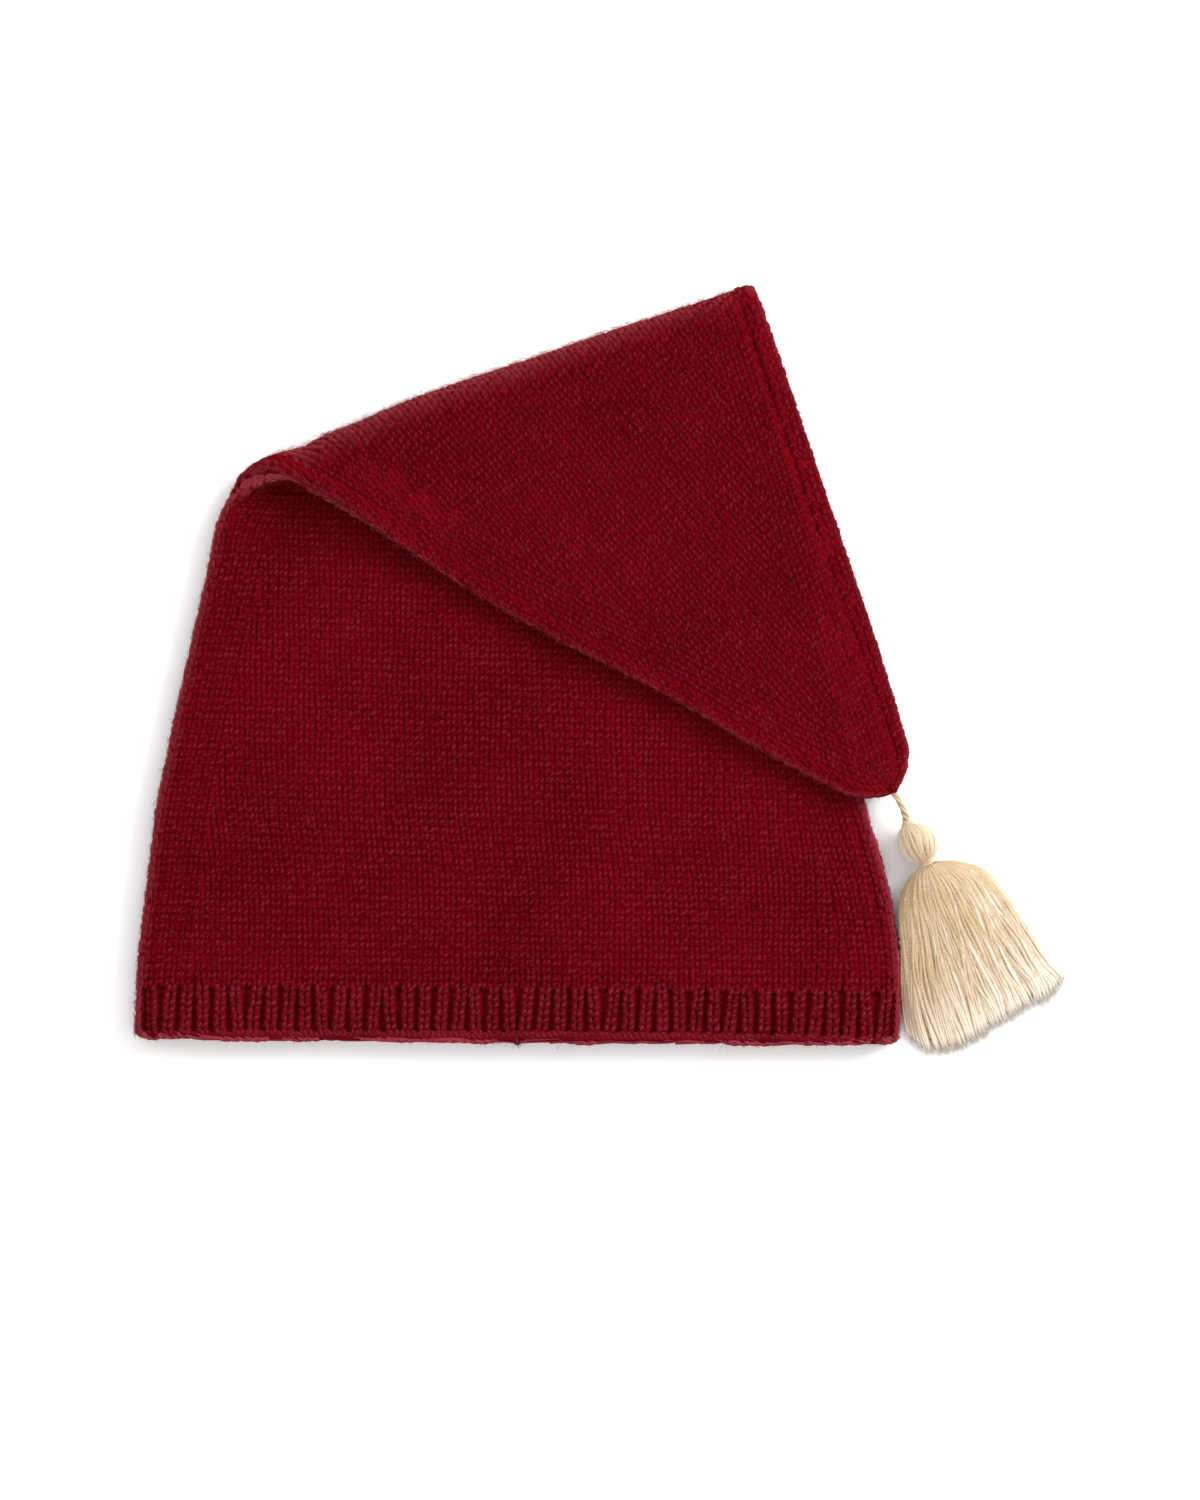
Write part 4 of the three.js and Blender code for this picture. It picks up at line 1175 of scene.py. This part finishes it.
def closed_form(name, rings, material):
    """A closed mesh over rings of points, with a point in the middle of each end."""
    count, around = rings.shape[:2]
    j = np.arange(around)
    k = (j + 1) % around
    quads = ring_quads(count, around)[:, ::-1]
    last, end = (count - 1) * around, count * around
    fans = np.concatenate([
        np.stack([np.full(around, end), k, j], -1),
        np.stack([np.full(around, end + 1), last + j, last + k], -1),
    ])
    points = np.concatenate([rings.reshape(-1, 3), rings[[0, -1]].mean(axis=1)])
    uv = np.concatenate([
        np.stack(np.broadcast_arrays(np.arange(around) / 2, np.arange(count)[:, None] / 2),
                 -1).reshape(-1, 2), [(0, 0), (0, count / 2)]])
    corners = np.concatenate([quads.ravel(), fans.ravel()])
    return piece(name, points, [quads, fans], material, uv[corners])


def tassel_skirt_core():
    """The wool that shows between the skirt's yarns."""
    share = np.linspace(0, 1, CORE_STATIONS)[:, None]
    angle = 2 * np.pi * (np.arange(CORE_SIDES) + 0.5) / CORE_SIDES
    reach = read_table(SKIRT_ENDS, 1, np.cos(angle)) - CORE_SHORT
    distance = blend(CORE_FROM, reach, share)
    fan = skirt_fan(distance, np.cos(angle) < 0)
    side = blend(CORE_NECK, fan * CORE_SPREAD, smoothstep(distance, *SHOULDER))
    under, over = read_table(SKIRT, 3, distance), read_table(SKIRT, 4, distance)
    # It settles where the yarns over it do.
    yarn_share = (distance - SKIRT_START) / (reach + CORE_SHORT - SKIRT_START)
    yarn_share = np.clip(yarn_share, 0, 1) ** (1 / STATION_POWER)
    sunk = blend(1, SUNK_TO, smoothstep(yarn_share, *SETTLING_DOWN))
    half = np.maximum((over - under) / 2 - CORE_UNDER, 0.3) * sunk
    ridged = 1 + CORE_RIDGE * np.sin(angle * CORE_RIDGES)
    rise = half * np.sign(np.sin(angle)) * np.abs(np.sin(angle)) ** SKIRT_ROUND * ridged
    return closed_form("tassel_skirt_core", tassel_point(
        distance, side * np.cos(angle), (over + under) / 2 * sunk + rise), cream_ground)


def tassel_head():
    """Lengths of yarn that leave the thread in a small cone, pass over a ball and are drawn
    together at the neck, and the core under them. Also gives the yarns' paths and directions."""
    share = np.linspace(0, 1, HEAD_STATIONS)[None]
    distance = blend(HEAD_FROM, HEAD_TO, 0.5 - 0.5 * np.cos(np.pi * share))
    from_middle = np.clip((distance - HEAD_CENTRE) / (HEAD_LENGTH / 2), -1, 1)
    on_ball = HEAD_WIDTH / 2 * np.sqrt(1 - from_middle**2)
    on_cone = np.minimum(CONE_START + (distance - HEAD_FROM) * CONE_SLOPE, CONE_WIDEST)
    on_neck = NECK_SPREAD + 0.6
    outline = np.maximum(on_ball, np.where(distance < HEAD_CENTRE, on_cone, on_neck))
    around = np.arange(HEAD_YARNS) + RNG.uniform(-0.25, 0.25, HEAD_YARNS)
    around = 2 * np.pi * around[:, None] / HEAD_YARNS + HEAD_TWIST * (share - 0.5)
    around = around + HEAD_WAVER * np.sin(share * 9 + RNG.uniform(0, 6, (HEAD_YARNS, 1)))
    radius = (outline - HEAD_SUNK) * (1 + RNG.normal(0, 0.012, (HEAD_YARNS, 1)))
    axis = blend(HEAD_WIDTH / 2, NECK_HEIGHT, smoothstep(distance, HEAD_CENTRE, 0))
    side = THREAD_SIDEWAYS * (1 - smoothstep(distance, HEAD_FROM, HEAD_CENTRE))
    paths = tassel_point(distance, side + radius * np.cos(around), axis + radius * np.sin(around))
    directions = unit(paths - tassel_point(distance, side, axis))
    half = HEAD_YARN + HEAD_SWELL * outline / (HEAD_WIDTH / 2)
    yarns = yarn_piece("tassel_head_yarns", paths, directions, half, half * HEAD_FLAT, YARN_SIDES,
                       cream_wool, shade=RNG.normal(0, 0.25, (HEAD_YARNS, 1)), crown=0.85)
    inner = slice(1, -1)
    angle = 2 * np.pi * (np.arange(HEAD_CORE_SIDES) + 0.5) / HEAD_CORE_SIDES
    radius = outline[0, inner, None] - HEAD_CORE_UNDER
    core = closed_form("tassel_head_core", tassel_point(
        distance[0, inner, None], side[0, inner, None] + radius * np.cos(angle),
        axis[0, inner, None] + radius * np.sin(angle)), cream_ground)
    return yarns, core, paths, directions


def tassel_tie():
    """A yarn wound tightly round the neck between the head and the skirt."""
    turn = np.linspace(0, 2 * np.pi * TIE_TURNS, TIE_STATIONS * TIE_TURNS)
    along = TIE_FROM + TIE_WIDTH * turn / turn[-1]
    path = tassel_point(along, TIE_RADIUS * np.cos(turn), NECK_HEIGHT + TIE_RADIUS * np.sin(turn))
    outwards = unit(path - tassel_point(along, 0, NECK_HEIGHT))
    return yarn_piece("tassel_tie_winding", path[None], outwards[None], TIE_YARN, TIE_YARN,
                      YARN_SIDES, cream_wool, shade=-0.2, crown=0.6)


def tassel_thread():
    """Strands laid loosely together, from inside the cap's point into the top of the head."""
    tip = drape(*pattern_point(sides_at(TIP_HEIGHT)[1], TIP_HEIGHT), 0.0)
    end = tassel_point(HEAD_FROM + THREAD_TO, THREAD_SIDEWAYS, HEAD_WIDTH / 2)
    halfway = blend(tip, end, 0.5) + np.array([THREAD_SLACK, 0, THREAD_LIFT])
    inside = tip + THREAD_FROM
    t = np.linspace(0, 1, THREAD_STATIONS)[:, None]
    route = ((1 - t) ** 2 * inside + 2 * t * (1 - t) * (2 * halfway - blend(inside, end, 0.5))
             + t**2 * end)
    side = unit(np.cross(unit(np.gradient(route, axis=0)), UPWARDS))
    wide = blend(*THREAD_WIND, smoothstep(t, 0.5, 1.0))
    paths = []
    for strand in range(THREAD_STRANDS):
        turn = t * 2 * np.pi * THREAD_TURNS + strand * 2 * np.pi / THREAD_STRANDS
        paths.append(route + wide * (np.cos(turn) * side + np.sin(turn) * UPWARDS))
    paths = np.stack(paths)
    return yarn_piece("tassel_thread_strands", paths, np.broadcast_to(UPWARDS, paths.shape),
                      THREAD_YARN, THREAD_YARN, YARN_SIDES, cream_wool, shade=0.0, crown=0.75)


skirt_paths = np.concatenate([skirt_yarns(count, layer) for count, layer in SKIRT_LAYERS])
skirt = tassel_skirt(skirt_paths)
skirt_core = tassel_skirt_core()
head, head_core, head_paths, head_directions = tassel_head()
tie = tassel_tie()
thread = tassel_thread()

# ---- loose fibres

# A real fibre is about 0.02 mm thick. These are drawn three to five times as thick, so that
# they show.
RED_FIBRE, CREAM_FIBRE = 0.05, 0.03  # half the thickness of one
FIBRE_STATIONS, FIBRE_SIDES = 3, 3
LOWEST_FIBRE = 0.1
FIBRE_BEND, FIBRE_DROOP = 0.35, 0.55  # how much one bends its own way, and falls back to the wool
STEEP_PAINTED_SHEEN = 0.45        # painted sheen: how much paler they are where the wool is steep
FACES_TABLE = -0.3       # the upward part of a direction below which wool faces the table
YARN_TOP = 0.5           # how far out from the middle of a red yarn its fibres start
CREAM_YARN_TOP = 0.4
LIP_FIBRES, LIP_FIBRE_LENGTH = 4200, 1.3
END_FIBRES, SKIRT_FIBRES, HEAD_FIBRES = 2200, 2000, 300


def fibre_piece(name, paths, ups, half, material, shade):
    """Fibres along their paths, kept above the table."""
    paths[..., 2] = np.maximum(paths[..., 2], LOWEST_FIBRE)
    return yarn_piece(name, paths, np.broadcast_to(ups, paths.shape), half, half, FIBRE_SIDES,
                      material, shade=shade)


def fibres(name, roots, normals, lengths, stand, half, material):
    """Fine curved fibres that leave the wool at their roots. stand is how steeply they rise.
    Those on steep places are painted paler, a painted sheen."""
    count = len(roots)
    drift = unit(RNG.normal(0, 1, (count, 3)))
    drift = unit(drift - normals * (drift * normals).sum(-1, keepdims=True))
    bend = unit(RNG.normal(0, 1, (count, 3)))
    share = np.linspace(0, 1, FIBRE_STATIONS)[None, :, None]
    reach = lengths[:, None, None] * share
    paths = (roots[:, None] + drift[:, None] * reach * (1 - 0.3 * stand[:, None, None])
             + normals[:, None] * reach * stand[:, None, None] * (1 - FIBRE_DROOP * share)
             + bend[:, None] * reach * share * FIBRE_BEND)
    steep = np.clip((1 - normals[:, 2:]) / 0.6, 0, 1)
    shade = RNG.uniform(0, 0.35, (count, 1)) + STEEP_PAINTED_SHEEN * steep
    return fibre_piece(name, paths, normals[:, None], half, material, shade)


def roots_on(paths, ups, count, stations):
    """Places on lengths of yarn that do not face the table, more of them where they stand
    steeply."""
    up = ups[:, stations[0], 2]
    likely = np.where(up > FACES_TABLE, 1.4 - up, 0)
    chosen = RNG.choice(len(paths), count, p=likely / likely.sum())
    station = RNG.choice(stations, count)
    return paths[chosen, station] + YARN_TOP * ups[chosen, station], ups[chosen, station]


def red_fibre_roots():
    """Where the red wool's fibres start, which way is outwards there, and how long they are."""
    # how many fibres each kind of stitch has, and their mean length
    wool = [(np.concatenate(legs.paths), np.concatenate(legs.ups), count, LEG_MIDDLE, length)
            for legs, count, length in ((front_legs, 7500, 2.2), (flap_legs, 9000, 2.2),
                                        (seam_legs, 7000, 1.5), (rib_legs, 2600, 1.5))]
    wool.append((lip_strands.reshape(-1, 1, 3), lip_ups.reshape(-1, 1, 3), LIP_FIBRES, (0,),
                 LIP_FIBRE_LENGTH))
    roots, normals, lengths = [], [], []
    for paths, ups, count, stations, length in wool:
        found, outwards = roots_on(paths, ups, count, stations)
        roots.append(found)
        normals.append(outwards)
        lengths.append(RNG.gamma(4, length / 4, count))
    return np.concatenate(roots), np.concatenate(normals), np.concatenate(lengths)


def tassel_end_fibres(yarns):
    """Fibres that run on past the cut ends of the skirt's yarns, each its own way."""
    picks = RNG.integers(0, len(yarns), END_FIBRES)
    roots = blend(yarns[picks, -1], yarns[picks, -2], RNG.uniform(0, 0.7, (END_FIBRES, 1)))
    along = unit(yarns[picks, -1] - yarns[picks, -3])
    lengths = RNG.gamma(5, 0.26, END_FIBRES) + 0.2
    share = np.linspace(0, 1, FIBRE_STATIONS)[None, :, None]
    paths = (roots[:, None] + along[:, None] * lengths[:, None, None] * share
             + RNG.normal(0, 0.35, (END_FIBRES, 1, 3)) * (share + 0.4)
             + RNG.normal(0, 0.45, (END_FIBRES, 1, 3)) * share**2)
    return fibre_piece("tassel_end_fibres", paths, UPWARDS, CREAM_FIBRE, cream_fibre,
                       RNG.uniform(0, 1, (END_FIBRES, 1)))


def tassel_fibre_roots(yarns, head_yarns, directions):
    """Where the fibres on the tassel's skirt and head start, and which way is outwards there."""
    picks = RNG.integers(0, len(yarns), SKIRT_FIBRES)
    station = RNG.integers(4, SKIRT_STATIONS - 2, SKIRT_FIBRES)
    on_skirt = yarns[picks, station]
    picks = RNG.integers(0, HEAD_YARNS, HEAD_FIBRES)
    station = RNG.integers(4, HEAD_STATIONS - 4, HEAD_FIBRES)
    on_head = head_yarns[picks, station]
    normals = np.concatenate([np.broadcast_to(UPWARDS, on_skirt.shape), directions[picks, station]])
    return np.concatenate([on_skirt, on_head]) + CREAM_YARN_TOP * normals, normals


red_roots, red_normals, red_lengths = red_fibre_roots()
red_fuzz = fibres("red_fuzz", red_roots, red_normals, red_lengths,
                  RNG.uniform(0.05, 0.5, len(red_roots)), RED_FIBRE, red_fibre)
end_fuzz = tassel_end_fibres(skirt_paths)
cream_roots, cream_normals = tassel_fibre_roots(skirt_paths, head_paths, head_directions)
cream_fuzz = fibres("tassel_fuzz", cream_roots, cream_normals,
                    RNG.gamma(4, 0.5, len(cream_roots)),
                    RNG.uniform(0.1, 0.6, len(cream_roots)), CREAM_FIBRE, cream_fibre)

# ---- what stands for what

for made, nodes, slot in (
    (front_cloth, ["front_panel"], "wool_knit"),
    (back_cloth, ["back_panel"], "wool_knit"),
    (lower_stitches, [], "wool_knit"),
    (upper_stitches, [], "wool_knit"),
    (flap_stitches, [], "wool_knit"),
    (seam_stitches, [], "wool_knit"),
    (red_fuzz, [], "wool_knit"),
    (rib_cloth, ["rib_band"], "wool_rib"),
    (rib_stitches, [], "wool_rib"),
    (cast_on, [], "wool_rib"),
    (skirt, ["tassel_skirt"], "tassel_wool"),
    (skirt_core, [], "tassel_wool"),
    (head, ["tassel_head"], "tassel_wool"),
    (head_core, [], "tassel_wool"),
    (tie, ["tassel_tie"], "tassel_wool"),
    (thread, ["tassel_thread"], "tassel_wool"),
    (end_fuzz, [], "tassel_wool"),
    (cream_fuzz, [], "tassel_wool"),
):
    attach(made, "root")
    if nodes:
        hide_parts(*nodes)

# ---- the studio

HALF_FLOOR = 4000.0
PAPER_GRAINS = 900.0     # across the whole floor
WORLD_STRENGTH = 1.15
FRAME_HEIGHT = 0.4706    # metres of the table that the camera's long side takes in
CAMERA_HEIGHT, CAMERA_Y = 4.0, -0.0245
MEAN_HEIGHT = 0.008      # the height above the table at which that is so
SENSOR = 36.0

# Matt white paper: a smooth sheet whose faint grain only takes the shine off it.
paper, paper_output = new_material("white_paper")
paper_grain = add_node(paper, "ShaderNodeTexNoise", {"Scale": PAPER_GRAINS, "Detail": 2.0})
paper_colour = add_node(paper, "ShaderNodeMix", {
    0: paper_grain.outputs["Fac"], 6: linear("#f6f6f5"), 7: linear("#fafafa")}, data_type="RGBA")
paper_shader = add_node(paper, "ShaderNodeBsdfPrincipled", {
    "Base Color": paper_colour.outputs[2], "Roughness": 0.9, "Specular IOR Level": 0.1})
paper.node_tree.links.new(paper_shader.outputs["BSDF"], paper_output.inputs["Surface"])
floor_corners = HALF_FLOOR * np.array([(-1, -1, 0), (1, -1, 0), (1, 1, 0), (-1, 1, 0)])
floor = piece("floor", floor_corners, [np.array([(0, 1, 2, 3)])], paper)

world = bpy.data.worlds.new("studio")
world.use_nodes = True
world.node_tree.nodes["Background"].inputs["Color"].default_value = linear("#ffffff")
world.node_tree.nodes["Background"].inputs["Strength"].default_value = WORLD_STRENGTH
bpy.context.scene.world = world


def softbox(name, place, aim, size, watts):
    """A square area light that faces what it is aimed at. Places and sizes are in metres."""
    light = bpy.data.lights.new(name, "AREA")
    light.shape = "SQUARE"
    light.size = size
    light.energy = watts
    made = bpy.data.objects.new(name, light)
    made.location = place
    direction = np.array(aim) - np.array(place)
    made.rotation_euler = (math.acos(-direction[2] / np.linalg.norm(direction)), 0,
                           math.atan2(direction[1], direction[0]) - math.pi / 2)
    bpy.context.scene.collection.objects.link(made)


softbox("key", place=(1.5, 0.9, 1.1), aim=(0, 0, 0), size=1.0, watts=44)

camera_data = bpy.data.cameras.new("camera")
camera_data.sensor_width = SENSOR
camera_data.lens = SENSOR * (CAMERA_HEIGHT - MEAN_HEIGHT) / FRAME_HEIGHT
camera_data.clip_end = 20
camera = bpy.data.objects.new("camera", camera_data)
camera.location = (0, CAMERA_Y, CAMERA_HEIGHT)
bpy.context.scene.collection.objects.link(camera)
bpy.context.scene.camera = camera
bpy.context.scene.view_settings.view_transform = "Standard"
